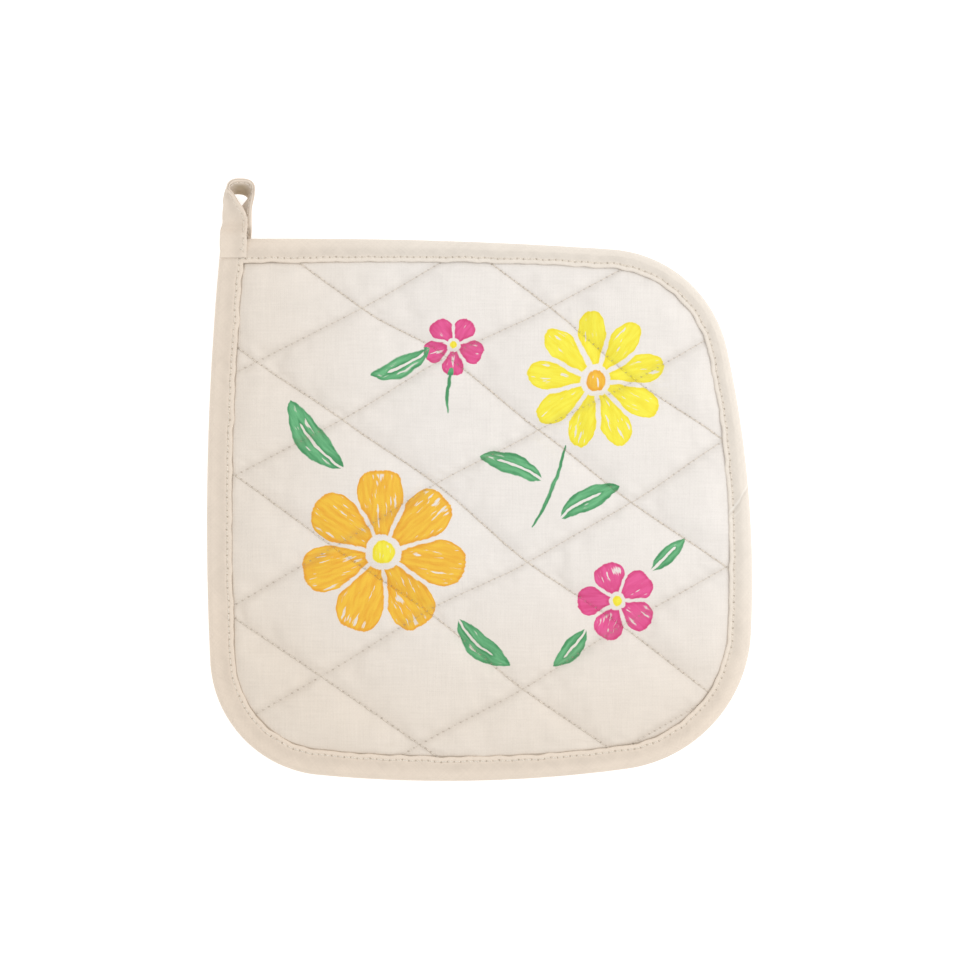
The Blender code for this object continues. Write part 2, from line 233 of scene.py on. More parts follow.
def inset(inwards):
    """The closed line that runs this far in from the edge, as an array of points."""
    return edge_places + edge_steps * np.reshape(inwards, (-1, 1))


def distance_inside(points, line):
    """How far each point lies inside a closed line: negative outside it."""
    starts, ends = line, np.roll(line, -1, axis=0)
    runs = ends - starts
    squares = (runs**2).sum(axis=1)
    found = []
    for some in np.array_split(points, max(1, len(points) // 500)):
        offset = some[:, None] - starts
        share = np.clip((offset * runs).sum(axis=2) / squares, 0, 1)
        away = np.linalg.norm(offset - runs * share[..., None], axis=2).min(axis=1)
        spans = (starts[:, 1] > some[:, 1, None]) != (ends[:, 1] > some[:, 1, None])
        rise = np.where(runs[:, 1] == 0, 1.0, runs[:, 1])
        cross = starts[:, 0] + (some[:, 1, None] - starts[:, 1]) / rise * runs[:, 0]
        odd = (spans & (some[:, 0, None] < cross)).sum(axis=1) % 2 == 1
        found.append(np.where(odd, away, -away))
    return np.concatenate(found)


# %% The lifted corner
STRIP_THICK = 0.0012
GAP = 0.0003                 # clear space between neighbouring pieces
CORNER_LIFT = STRIP_THICK + GAP      # the corner lies on the loop's lower leg
LIFT_REACH = 0.040
LOOP_FOOT_Y = 0.0826


def lift(points):
    """How far the cloth is raised near the square corner, where it lies on the loop's lower leg."""
    corner = np.array((CORNERS[0]["x"], CORNERS[0]["y"]))
    away = np.linalg.norm(points - corner, axis=1)
    covered = CORNERS[0]["y"] - LOOP_FOOT_Y + CORNERS[0]["binding"]
    return CORNER_LIFT * (1 - smooth_step(away, covered, LIFT_REACH))


print(f"the square corner is lifted by {CORNER_LIFT / MM:.1f} mm")

# %% [markdown]
# ## The quilting
#
# Two families of nearly straight seams cross in diamonds. They could be cut into a finished mesh, but
# they would run through its cells and look ragged. Instead a point of the cloth is named by two seam
# numbers: how far down it lies among the falling seams, and how far down among the rising ones. A
# whole number is a seam, and a half is the middle of a diamond. The mesh follows these numbers, so
# its lines run along the seams and they stay crisp.

# %% Sizes of the quilting
RISING_SEAMS = (
    dict(height=0.0889, slope=0.523),
    dict(height=0.0494, slope=0.533),
    dict(height=0.0056, slope=0.571),
    dict(height=-0.0394, slope=0.578),
    dict(height=-0.0859, slope=0.584),
    dict(height=-0.1310, slope=0.580),
)
FALLING_SEAMS = (
    dict(height=0.0835, slope=-0.775, drawn=(0.0, 0.0009, -0.0015, 0.0015, 0.0, 0.0)),
    dict(height=0.0340, slope=-0.725, drawn=(-0.0020, 0.0030, 0.0005, -0.0015, 0.0, 0.0)),
    dict(height=-0.0160, slope=-0.740, drawn=(-0.0015, 0.0005, 0.0024, -0.0015, 0.0008, 0.0)),
    dict(height=-0.0650, slope=-0.725, drawn=(0.0, 0.0008, 0.0005, 0.0020, -0.0012, 0.0)),
    dict(height=-0.1144, slope=-0.690, drawn=(0.0, 0.0, 0.0, 0.0005, 0.0005, 0.0)),
)
DRAWN = np.array([seam["drawn"] for seam in FALLING_SEAMS])   # how far each crossing is pulled up

# %% From seam numbers to places


def seam_at(seams, index):
    """Heights and slopes of the lines at seam numbers, which may lie between seams or past the last."""
    low = np.clip(np.floor(index), 0, len(seams) - 2).astype(int)
    share = index - low
    height, slope = (np.array([seam[key] for seam in seams]) for key in ("height", "slope"))
    return (
        height[low] + (height[low + 1] - height[low]) * share,
        slope[low] + (slope[low + 1] - slope[low]) * smooth_step(share, 0, 1),
    )


def crossing(falling, rising):
    """Where the falling lines and the rising lines of these seam numbers cross."""
    falling_height, falling_slope = seam_at(FALLING_SEAMS, falling)
    rising_height, rising_slope = seam_at(RISING_SEAMS, rising)
    x = (rising_height - falling_height) / (falling_slope - rising_slope)
    row = np.clip(np.floor(falling), 0, len(FALLING_SEAMS) - 2).astype(int)
    column = np.clip(np.floor(rising), 0, len(RISING_SEAMS) - 2).astype(int)
    down = smooth_step(falling - row, 0, 1)
    along = smooth_step(rising - column, 0, 1)
    above = DRAWN[row, column] * (1 - along) + DRAWN[row, column + 1] * along
    below = DRAWN[row + 1, column] * (1 - along) + DRAWN[row + 1, column + 1] * along
    return np.stack([x, rising_height + rising_slope * x + above * (1 - down) + below * down], axis=1)


def crown(index, fullness):
    """0 on a seam, 1 half way to the next."""
    return 1 - np.abs(2 * (index % 1) - 1) ** fullness


print(len(FALLING_SEAMS), "falling seams and", len(RISING_SEAMS), "rising ones")

# %% [markdown]
# ## The padded square
#
# Its crowns could be shaped by a formula alone, or sculpted, but only cloth that swells gathers by
# itself where the thread holds it. So a formula starts the shape and Blender's cloth simulation
# finishes it. The mesh is a flat grid laid out by seam number, finer beside the seams. What lies
# outside the edge is cut off, the rest is doubled into a face and a back with a rim between them, and
# its points go to their heights. The extrude operator would do that too, but it numbers the points
# in another order each time, and the simulation would end a little differently. Then the pad is
# blown up against its seams, with its cloth let out by a few percent first. The solver suits things
# a metre wide, so the pad is simulated at ten times its size.

# %% The grid
SPANS = (-2, 6)              # the grid reaches past the first and the last seam of each family
SPAN_CELLS = 22
SEAM_FINENESS = 0.45         # how much closer the lines lie beside a seam
RIM = 0.0014                 # how far the square stays inside the binding's fold
LINE_SKIP = 3                # to measure distances, every third station is enough


def points_of(piece):
    return np.array([point.co for point in piece.data.vertices])


shares = np.arange(SPAN_CELLS) / SPAN_CELLS
shares = shares - SEAM_FINENESS * np.sin(2 * np.pi * shares) / (2 * np.pi)
grid_lines = np.append(np.concatenate([span + shares for span in range(*SPANS)]), SPANS[1])
cells = len(grid_lines) - 1
bpy.ops.object.select_all(action="DESELECT")
bpy.ops.mesh.primitive_grid_add(x_subdivisions=cells, y_subdivisions=cells, size=1)
pad = bpy.context.object
pad.name = "padded_square"
columns, rows, _ = np.round((points_of(pad).T + 0.5) * cells).astype(int)
numbers = np.stack([grid_lines[columns], grid_lines[rows]], axis=1)
places = crossing(numbers[:, 0], numbers[:, 1])
limit_line = inset(RIM)[::LINE_SKIP]
within = distance_inside(places, limit_line)
print(len(places), "points in the grid,", int((within > 0).sum()), "inside the edge")

# %% Cut off and closed


def nearest_on(points, line):
    """The nearest place to each point on a closed line."""
    runs = np.roll(line, -1, axis=0) - line
    offset = points[:, None] - line
    share = np.clip((offset * runs).sum(axis=2) / (runs**2).sum(axis=1), 0, 1)
    spots = line + runs * share[..., None]
    best = np.linalg.norm(points[:, None] - spots, axis=2).argmin(axis=1)
    return spots[np.arange(len(points)), best]


pad_faces = np.array([face.vertices[:] for face in pad.data.polygons])
pad_faces = pad_faces[(within[pad_faces] > 0).any(axis=1)]
kept_points, pad_faces = np.unique(pad_faces, return_inverse=True)
pad_faces = pad_faces.reshape(-1, 4)
count = len(kept_points)
pairs = np.stack([pad_faces, np.roll(pad_faces, -1, axis=1)], axis=2).reshape(-1, 2).tolist()
inner_pairs = {(b, a) for a, b in pairs}
walls = [(a, b, b + count, a + count) for a, b in pairs if (a, b) not in inner_pairs]
closed_faces = pad_faces[:, ::-1].tolist() + (pad_faces + count).tolist() + walls

grid_points = np.tile(kept_points, 2)
on_face = np.arange(2 * count) >= count
pad_places = places[grid_points]
beyond = within[grid_points] < 0
pad_places[beyond] = nearest_on(pad_places[beyond], limit_line)
pad.data.clear_geometry()
pad.data.from_pydata(np.column_stack([pad_places, on_face]).tolist(), [], closed_faces)
print(len(grid_points), "points in the pad,", len(walls), "faces round its rim")

# %% [markdown]
# Each diamond starts as a crown that falls to the seams round it and to the binding. Beside the seams
# the cloth gathers into small puckers. A noise texture could raise them, but a sum of a few seeded
# sines has a known height and known wavelengths, and it is the same in each run.

# %% Fullness
SEAM_TOP = 0.0044            # height of the face in the seams
SEAM_UNDER = 0.0010          # height of the back in the seams
PUFF_TOP = 0.0068            # height of the face in the middle of a diamond
PRESSED_TOP = 0.0040         # under the binding the square is pressed thin
PRESSED_UNDER = 0.0014
EDGE_FALL = 0.0110           # how far from the binding a diamond reaches its full height
EDGE_SHARE = 0.36            # share of that height that it has right beside the binding
FULLNESS = 2.6
SHARP_FULLNESS = 3.4         # the falling seams are narrower than the rising ones
TUCK_IN = (-0.0005, 0.0012)  # over this stretch the cloth comes up from under the binding
ON_SEAM = 1e-6               # in seam numbers

inner_line = inset(edge_widths)[::LINE_SKIP]
inwards = distance_inside(pad_places, inner_line)
pad_numbers = numbers[grid_points]
off_seams = np.abs(pad_numbers - np.round(pad_numbers))
on_seam = off_seams < ON_SEAM
tucked = smooth_step(inwards, *TUCK_IN)
from_edge = 1 - (1 - np.clip(inwards / EDGE_FALL, 0, 1)) ** FULLNESS
fullness = crown(pad_numbers[:, 0], SHARP_FULLNESS) * crown(pad_numbers[:, 1], FULLNESS)
fullness *= EDGE_SHARE * tucked + (1 - EDGE_SHARE) * from_edge
print(f"the diamonds are {fullness.mean():.0%} full on average")

# %% Puckers
SEAM_SPAN = 0.039            # from one seam to the next, straight across
PUCKERS = (0.000132, 0.00022)        # heights beside the falling and the rising seams
PUCKER_REACH = 0.0080
PUCKER_WAVES = (0.0045, 0.0110)      # shortest and longest
PUCKER_SHIFTS = (0.0170, 0.0430)     # keep one seam's, and one side's, unlike the next
PUCKER_STARTS = (0.0005, 0.0040)     # distance from the binding over which they begin
PUCKER_CLEAR = 0.0015                # and distance from a seam
PUCKER_SEED = 31


def ripples(along, seed, shortest, longest, count=7):
    """An uneven wave about as high as 1, from seeded sines between two wavelengths."""
    draw = random.Random(seed)
    total = np.zeros_like(along)
    for _ in range(count):
        length = shortest * (longest / shortest) ** draw.random()
        total += np.sin(2 * np.pi * (along / length + draw.random()))
    return total / math.sqrt(count)


pucker = np.zeros(len(pad_numbers))
for family, high in enumerate(PUCKERS):
    seam = np.round(pad_numbers[:, family])
    beside = np.sign(pad_numbers[:, family] - seam)
    strength = np.sin(np.pi * np.clip(off_seams[:, family] * SEAM_SPAN / PUCKER_REACH, 0, 1))
    along = pad_numbers[:, 1 - family] * SEAM_SPAN
    along += PUCKER_SHIFTS[0] * seam + PUCKER_SHIFTS[1] * beside
    pucker += high * strength * ripples(along, PUCKER_SEED + family, *PUCKER_WAVES)
pucker *= smooth_step(inwards, *PUCKER_STARTS)
pucker *= smooth_step(off_seams.min(axis=1) * SEAM_SPAN, 0, PUCKER_CLEAR)
print(f"the puckers are up to {pucker.max() / MM:.2f} mm high")

# %% Heights
UNDER_FALL = 0.0026          # the back falls this much towards the middle of a diamond
START_FULLNESS = 0.86        # the pad swells, so it starts a little flatter


def put_points(piece, points):
    piece.data.vertices.foreach_set("co", points.ravel())
    piece.data.update()


def face_out(mesh):
    """Turns the faces of a closed mesh outwards, and returns its volume in cubic metres."""
    made = bmesh.new()
    made.from_mesh(mesh)
    bmesh.ops.recalc_face_normals(made, faces=made.faces[:])
    volume = made.calc_volume(signed=True)
    made.to_mesh(mesh)
    made.free()
    return volume


seam_top = PRESSED_TOP + (SEAM_TOP - PRESSED_TOP) * tucked
seam_under = PRESSED_UNDER + (SEAM_UNDER - PRESSED_UNDER) * tucked
face_heights = seam_top + (PUFF_TOP - SEAM_TOP) * fullness * START_FULLNESS + pucker
back_heights = np.maximum(0.0, seam_under - UNDER_FALL * fullness)
heights = np.where(on_face, face_heights, back_heights) + lift(pad_places)
pad_points = np.column_stack([pad_places, heights])
put_points(pad, pad_points)
print(f"the pad holds {face_out(pad.data) / MM**3 / 1000:.0f} cubic centimetres")

# %% The simulation
SIMULATED_AT = 10.0
LET_OUT = 0.030              # how much longer the cloth is than the seams that hold it
PRESSURE = 2.5
STIFFNESS = dict(tension=15, compression=15, shear=5, bending=0.5)
SOLVER_STEPS = 6
SWELL_FRAMES = 20
MOST_MOVED = 0.0010
SEWN_WITHIN = 0.0004         # points this near the binding or beyond it are held


def apply(piece, modifier):
    bpy.context.view_layer.objects.active = piece
    bpy.ops.object.modifier_apply(modifier=modifier.name)


def swell(piece, held):
    """Blows the piece up with the held points fixed, and returns its points."""
    before = points_of(piece)
    put_points(piece, before * SIMULATED_AT)
    group = piece.vertex_groups.new(name="sewn")
    group.add(np.flatnonzero(held).tolist(), 1.0, "REPLACE")
    cloth = piece.modifiers.new("Cloth", "CLOTH")
    cloth.settings.vertex_group_mass = "sewn"
    cloth.settings.quality = SOLVER_STEPS
    cloth.settings.use_pressure = True
    cloth.settings.uniform_pressure_force = PRESSURE
    cloth.settings.shrink_min = -LET_OUT
    for kind, value in STIFFNESS.items():
        setattr(cloth.settings, f"{kind}_stiffness", value)
    cloth.settings.effector_weights.gravity = 0
    cloth.point_cache.frame_end = SWELL_FRAMES
    for step in range(1, SWELL_FRAMES + 1):
        bpy.context.scene.frame_set(step)
    apply(piece, cloth)
    bpy.context.scene.frame_set(1)
    moved = points_of(piece) / SIMULATED_AT - before
    length = np.linalg.norm(moved, axis=1, keepdims=True)
    print(f"the cloth moved {length.max() / MM:.2f} mm at most, {length.mean() / MM:.2f} on average")
    return before + moved * np.minimum(1.0, MOST_MOVED / np.maximum(length, 1e-12))


pad_points = swell(pad, on_seam.any(axis=1) | (inwards < SEWN_WITHIN))
pad_points[:, 2] = np.maximum(0.0, pad_points[:, 2])
put_points(pad, pad_points)

# %% One subdivision, with the seams kept sharp
SEAM_CREASE = 0.6


def labelled(mesh, name, kind, domain, values):
    """Stores a value for each point or edge in the mesh, under a name that a material can read."""
    key = "vector" if kind == "FLOAT_VECTOR" else "value"
    mesh.attributes.new(name, kind, domain).data.foreach_set(key, values.ravel())


ends = np.array([edge.vertices[:] for edge in pad.data.edges])
along_seam = (on_seam[ends[:, 0]] & on_seam[ends[:, 1]]).any(axis=1)
along_seam &= on_face[ends[:, 0]] == on_face[ends[:, 1]]
seam_labels = np.column_stack([pad_numbers, inwards / MM])
labelled(pad.data, "seam_numbers", "FLOAT_VECTOR", "POINT", seam_labels)
labelled(pad.data, "face_side", "FLOAT", "POINT", on_face.astype(float))
labelled(pad.data, "crease_edge", "FLOAT", "EDGE", np.where(along_seam, SEAM_CREASE, 0.0))
finer = pad.modifiers.new("Subdivision", "SUBSURF")
finer.levels = finer.render_levels = 1
apply(pad, finer)
pad.data.shade_smooth()
print(len(pad.data.polygons) * 2, "triangles in the padded square")

# %% [markdown]
# ## The binding
#
# The real strip is cut about 34 mm wide, its two raw edges are turned in, and it is folded over the
# edge of the square and sewn down through all its layers. A curve with a bevel would be quicker, but
# it would be a round bar, not folded cloth. Here the section is one line of cloth, bent as the maker
# bends it: from a turned-in hem round the inner fold, over the face, round the edge, under the back
# and into the other hem. That line gets the cloth's thickness, and is carried round the outline. The
# stitches pull it down in a row of small dips, and it ripples between them.

# %% Sizes of the binding
STRIP_CLOTH = 0.00042        # thickness of one cloth of the binding
LEAF = 0.0011                # thickness of the hem and the cloth over it
BINDING_TOP = 0.0054
HEM_END = 0.0026             # how near the turned-in hems come to the outer edge
FOLD_ROUND = 0.0022          # how far the folded edge rounds in
STITCH_INSET = 0.0018        # the stitches run this far from the binding's inner edge
STITCH_PITCH = 0.0024

stitch_line = inset(edge_widths - STITCH_INSET)
stitch_runs = np.linalg.norm(np.roll(stitch_line, -1, axis=0) - stitch_line, axis=1)
binding_stitches = round(stitch_runs.sum() / STITCH_PITCH)
stitch_phase = np.concatenate([[0.0], np.cumsum(stitch_runs)[:-1]])
stitch_phase *= binding_stitches / stitch_runs.sum()
along_strip = stitch_phase * STITCH_PITCH
print(binding_stitches, "stitches along the binding")

# %% Help with strips
INNER_SKIP = 3               # the cloth's hidden side needs only every third point


def new_piece(name, points, faces, uvs=None):
    """A smooth object with its faces outwards. uvs are the strip's ways at each face's corners."""
    mesh = bpy.data.meshes.new(name)
    mesh.from_pydata(points.reshape(-1, 3).tolist(), [], faces)
    if uvs is not None:
        mesh.uv_layers.new(name="strip").data.foreach_set("uv", uvs.ravel())
    face_out(mesh)
    mesh.shade_smooth()
    piece = bpy.data.objects.new(name, mesh)
    bpy.context.scene.collection.objects.link(piece)
    mesh.calc_loop_triangles()
    print(name, "has", len(mesh.loop_triangles), "triangles")
    return piece


def skin(name, points, ways, closed):
    """A piece over rows of equally many points. Each row is a closed ring. ways are the UV map."""
    rows, ring = points.shape[:2]
    spans = rows if closed else rows - 1
    i, j = np.meshgrid(np.arange(spans), np.arange(ring), indexing="ij")
    corners = [(i, j), (i, j + 1), (i + 1, j + 1), (i + 1, j)]
    faces = np.stack([(a % rows) * ring + b % ring for a, b in corners], axis=-1).reshape(-1, 4)
    uvs = np.stack([ways[a, b] for a, b in corners], axis=2).reshape(-1, 2)
    faces = faces.tolist()
    if not closed:
        faces += [list(range(ring)), list(range((rows - 1) * ring, rows * ring))]
        uvs = np.concatenate([uvs, ways[0, :ring], ways[rows - 1, :ring]])
    return new_piece(name, points, faces, uvs)


def with_thickness(line, thick):
    """Rings round lines of (across, up) points: out along one side of the cloth, back on the other."""
    along = np.gradient(line, axis=1)
    along /= np.linalg.norm(along, axis=2, keepdims=True)
    aside = np.stack([along[..., 1], -along[..., 0]], axis=2) * thick / 2
    return np.concatenate([line + aside, (line - aside)[:, ::-1][:, ::INNER_SKIP]], axis=1)


def strip_ways(ring_line, lengths, start):
    """UV ways of a strip, in metres: along it, and round its section from the point called start."""
    steps = np.linalg.norm(np.diff(ring_line, axis=0, append=ring_line[:1]), axis=1)
    around = np.concatenate([[0.0], np.cumsum(steps)])
    return np.stack(np.meshgrid(lengths, around - around[start], indexing="ij"), axis=2)


# %% The binding's section
FOLD_POINTS = 6              # points round a fold of the cloth
EDGE_POINTS = 10             # and round the fold at the edge
hem_line = ((0.0, HEM_END), (0.5, 0.0), (1.0, -STITCH_INSET))
outer_insets = (0.0008, 0.0013, STITCH_INSET, 0.0023, 0.0029, 0.0036, 0.0042)
outer_ends = ((0.35, 0.0002), (0.15, 0.0013))


def bend(first, last, points=FOLD_POINTS):
    """(cosine, sine) of even steps from one angle to another."""
    return [(math.cos(a), math.sin(a)) for a in np.linspace(first, last, points)]


def leaf_line(outer_up, hem_up):
    """(share of the width, inwards, up) of one leaf: hem, inner fold, and back towards the edge."""
    radius = abs(outer_up - hem_up) / 2
    turn_in = -radius - STRIP_CLOTH / 2
    middle, half = (outer_up + hem_up) / 2, (outer_up - hem_up) / 2
    hem = [(*found, hem_up) for found in hem_line]
    fold = [(1.0, turn_in + radius * c, middle + half * s) for c, s in bend(-np.pi / 2, np.pi / 2)]
    outer = [(1.0, -found, outer_up) for found in outer_insets]
    return hem + fold + outer + [(*found, outer_up) for found in outer_ends]


outer_up, hem_up = BINDING_TOP - STRIP_CLOTH / 2, BINDING_TOP - LEAF + STRIP_CLOTH / 2
middle_up = BINDING_TOP / 2
upper = leaf_line(outer_up, hem_up)
lower = leaf_line(BINDING_TOP - outer_up, BINDING_TOP - hem_up)
edge_fold = [
    (0.0, FOLD_ROUND - (FOLD_ROUND - STRIP_CLOTH / 2) * s, middle_up + (outer_up - middle_up) * c)
    for c, s in bend(0, np.pi, EDGE_POINTS)
]
section = np.array(upper + edge_fold + lower[::-1])
on_stitches = len(hem_line) + FOLD_POINTS + outer_insets.index(STITCH_INSET)
print(len(section), "points across the strip")

# %% [markdown]
# A strip cut on the bias is too short to go all the way round, so two lengths are joined. The join
# is sewn at 45 degrees and pressed open, and its two seam allowances show through as low ridges on
# the right side of the pot holder. Real layers of cloth inside would hardly show, so the section is
# only raised over them.

# %% The join
JOIN_Y = -0.0076
JOIN_SLOPE = 1.03            # how far the join runs along the edge for each metre across
JOIN_DIP = 0.00014
DIP_AFTER = 0.0011           # the join's groove, after its first ridge
RIDGES = ((0.0, 0.00036), (0.0037, 0.00014))     # each ridge's place along the edge, and its height
RIDGE_WIDE = 0.00080

right_side = np.where(edge_places[:, 0] > 0.09, np.abs(edge_places[:, 1] - JOIN_Y), 1.0)
join_station = int(right_side.argmin())
print(f"the join is {along_strip[join_station] / MM:.0f} mm along the strip")


def join_height(from_inner):
    """Height that the join adds at each station and distance from the inner edge."""
    across_join = from_inner - edge_widths[join_station] / 2
    away = along_strip[:, None] - along_strip[join_station] + JOIN_SLOPE * across_join
    total = -JOIN_DIP * np.exp(-(((away - DIP_AFTER) / RIDGE_WIDE) ** 2))
    for start, rise in RIDGES:
        total += rise * np.exp(-(((away - start) / RIDGE_WIDE) ** 2))
    return total


# %% The binding's relief
WAVER = 0.00020              # how unevenly its width was folded
STITCH_DIP = 0.00020
GROOVE = 0.00055             # half the width of the groove that the stitches press
HOLES = 0.30                 # share of its depth that comes and goes with the holes
PUFF = 0.00034               # how far the binding rises between its stitches and its fold
PUFF_INSIDE = 0.00010        # and between its stitches and its inner edge
OUTER_CLEAR = 0.0002         # what lies this much above the hem is the strip's outer cloth
SLANT = 0.8                  # some folds run aslant, this far along for each metre across
GATHERS, SWELLS, ASLANT = 0.40, 0.35, 0.30   # shares of the puff's height
WAVES = dict(                # seed, shortest and longest wave of each unevenness
    width=(3, 0.006, 0.035),
    gathers=(5, 0.004, 0.010),
    swells=(6, 0.015, 0.060),
    aslant=(8, 0.007, 0.020),
)

rippled_width = edge_widths + WAVER * ripples(along_strip, *WAVES["width"])
across = section[:, 0] * rippled_width[:, None] + section[:, 1]
from_inner = rippled_width[:, None] - across
is_outer = np.abs(section[:, 2] - middle_up) > abs(hem_up - middle_up) + OUTER_CLEAR
face_or_back = np.where(section[:, 2] > middle_up, 1.0, -1.0) * is_outer
groove = np.exp(-((from_inner - STITCH_INSET) / GROOVE) ** 2)
holes = 1 - HOLES + HOLES * np.cos(2 * np.pi * stitch_phase)[:, None]
outside_share = (from_inner - STITCH_INSET) / (rippled_width[:, None] - STITCH_INSET - FOLD_ROUND)
puffed = np.sin(np.pi * np.clip(outside_share, 0, 1)) ** 0.8
puffed_inside = np.sin(np.pi * np.clip(from_inner / STITCH_INSET, 0, 1))
gathers = GATHERS * ripples(along_strip, *WAVES["gathers"])
swells = SWELLS * ripples(along_strip, *WAVES["swells"])
slanting = (along_strip[:, None] + SLANT * from_inner).ravel()
aslant = ASLANT * ripples(slanting, *WAVES["aslant"]).reshape(from_inner.shape)
unevenness = (gathers + swells)[:, None] + aslant
relief = PUFF * puffed * (1 + unevenness) - STITCH_DIP * groove * holes
relief += PUFF_INSIDE * puffed_inside * (1.4 - holes) * 2
relief += join_height(from_inner) * (section[:, 2] > middle_up)
up = np.maximum(section[:, 2] + face_or_back * relief, STRIP_CLOTH / 2)
print(f"the binding's relief is {relief.min() / MM:.2f} to {relief.max() / MM:.2f} mm")

# %% The binding's mesh
across_and_up = np.stack([across, up], axis=2)
rings = with_thickness(across_and_up, STRIP_CLOTH)
flat_places = edge_places[:, None] + edge_steps[:, None] * rings[..., :1]
raise_by = lift(flat_places.reshape(-1, 2)).reshape(rings.shape[:2])
binding_points = np.concatenate([flat_places, (rings[..., 1] + raise_by)[..., None]], axis=2)
binding_points[..., 2] = np.maximum(binding_points[..., 2], 0.0)
binding_ways = strip_ways(rings[0], np.append(along_strip, binding_stitches * STITCH_PITCH), on_stitches)
binding = skin("folded_binding", binding_points, binding_ways, closed=True)

# %% [markdown]
# ## The hanging loop
#
# The strip goes on as a loop: folded and sewn closed, it leaves the face at the square corner, turns
# over and comes back under it. Half on edge as it rises, its open side looks up and to the right. A
# cloth simulation could bend it, but it wouldn't stop in the place where the real one lies, so its
# way is given by formulas. Its section is again one line of cloth, with its hems inside, so its right
# edge shows two small folds lying on each other, and its left edge one. Its sewn end is pressed flat.

# %% Sizes of the loop
LOOP_WIDTH_FOOT = 0.0100
LOOP_WIDTH_TOP = 0.0094
LOOP_LEAVES_Y = 0.0902
LOOP_RISE_Y = 0.0910
LOOP_PINCH_Y = 0.0945
LOOP_TURN_Y = 0.1054
LOOP_TURN_UP = 0.0037
LOOP_SQUARE = 0.78
LOOP_FLARE = 1.6
LOOP_FOOT_X = -0.09165
LOOP_TOP_X = -0.0896
LOOP_BOW = 0.00045
LOOP_LOWER_ASIDE = 0.0015
LOOP_HOLE = 0.0086
LOOP_TWIST = math.radians(77)
LOOP_SPREAD = math.radians(12)
LOOP_LEAN = math.radians(33)
LOOP_TOP_Z = 0.0071
LOOP_ARCH = 0.0010
LOWER_ROLL = math.radians(24)    # below the turn, the lower leg rolls further open
UPPER_ROLL = math.radians(11)    # and so does the upper one, nearer the turn

# %% Where the legs lie


def loop_middle(y):
    """(share of the rise, how far it has opened, its middle, half the space between its legs)."""
    rise = float(smooth_step(y, LOOP_RISE_Y, LOOP_TURN_Y))
    lower, upper = STRIP_THICK / 2, BINDING_TOP + CORNER_LIFT + GAP + STRIP_THICK / 2
    apart = (upper - lower) / 2
    touching = STRIP_THICK / 2 + GAP
    open_wide = (LOOP_HOLE + STRIP_THICK) / 2
    closing = float(smooth_step(y, LOOP_LEAVES_Y, LOOP_PINCH_Y))
    opening = min(1.0, max(0.0, (y - LOOP_PINCH_Y) / (LOOP_TURN_Y - LOOP_PINCH_Y)))
    half_gap = apart + (touching - apart) * closing
    half_gap += (open_wide - touching) * math.sin(math.pi / 2 * opening) ** LOOP_FLARE
    half_way = math.sin(math.pi * rise)
    middle = Vector((
        LOOP_FOOT_X + (LOOP_TOP_X - LOOP_FOOT_X) * rise + LOOP_BOW * half_way,
        y,
        (lower + upper) / 2 * (1 - rise) + LOOP_TOP_Z * rise + LOOP_ARCH * half_way,
    ))
    return rise, opening, middle, half_gap


def loop_station(y, side):
    """(centre of the strip, its way across, its width) at a height. side is 1 on the upper leg."""
    rise, opening, middle, half_gap = loop_middle(min(y, LOOP_TURN_Y))
    middle.y = y
    if side < 0:
        middle.x += LOOP_LOWER_ASIDE * (1 - rise)
        roll = LOWER_ROLL * math.sin(math.pi * opening**2)
    else:
        roll = UPPER_ROLL * math.sin(math.pi * opening**3)
    twist = LOOP_TWIST * rise
    apart = Vector((-math.sin(twist), 0, math.cos(twist)))
    unrolled = twist - LOOP_SPREAD * math.sin(math.pi * rise) * side
    rolled = unrolled - roll
    lean = LOOP_LEAN * rise
    width = LOOP_WIDTH_FOOT + (LOOP_WIDTH_TOP - LOOP_WIDTH_FOOT) * rise
    held_edge = width / 2 * math.cos(lean) * side
    middle.x += held_edge * (math.cos(rolled) - math.cos(unrolled))
    middle.z += held_edge * (math.sin(rolled) - math.sin(unrolled))
    across = Vector((math.cos(rolled) * math.cos(lean), math.sin(lean), math.sin(rolled) * math.cos(lean)))
    return middle + apart * half_gap * side, across, width


# %% Along the loop
LEG_STEPS = 64
TURN_STEPS = 40

leg = [LOOP_FOOT_Y + (LOOP_TURN_Y - LOOP_FOOT_Y) * k / LEG_STEPS for k in range(LEG_STEPS)]
path = [(y, 1.0) for y in leg]
for aside, ahead in bend(0, math.pi, TURN_STEPS + 1):
    further = LOOP_TURN_UP * abs(ahead) ** LOOP_SQUARE
    path.append((LOOP_TURN_Y + further, math.copysign(abs(aside) ** LOOP_SQUARE, aside)))
path += [(y, -1.0) for y in reversed(leg)]
stations = [loop_station(*step) for step in path]
centres, acrosses, loop_widths = (np.array(found) for found in zip(*stations))
facings = np.cross(acrosses, np.gradient(centres, axis=0))
facings /= np.linalg.norm(facings, axis=1, keepdims=True)
loop_along = np.concatenate([[0.0], np.cumsum(np.linalg.norm(np.diff(centres, axis=0), axis=1))])
print(f"the loop's strip is {loop_along[-1] / MM:.1f} mm long")

# %% The loop's section
LOOP_CLOTH = 0.00025         # thickness of one of its four cloths
LAYER_GAP = 0.00005
LOOP_HEM = 0.0070            # how far its hems reach in
LOOP_STITCH_INSET = 0.0014   # its stitches run this far from its open edge
LOOP_GROOVE = 0.0006         # half the width of the groove that they press
LOOP_DIP = 0.00012
LOOP_PUFF = 0.00014
HEM_SHARES = (1, 0.5, 0.12)
TOP_SHARES = (0.75, 0.55, 0.35, 0.12)
LOOP_STITCH_INDEX = len(HEM_SHARES) + FOLD_POINTS + 1

outer_layer = STRIP_THICK / 2 - LOOP_CLOTH / 2
inner_layer = outer_layer - LOOP_CLOTH - LAYER_GAP


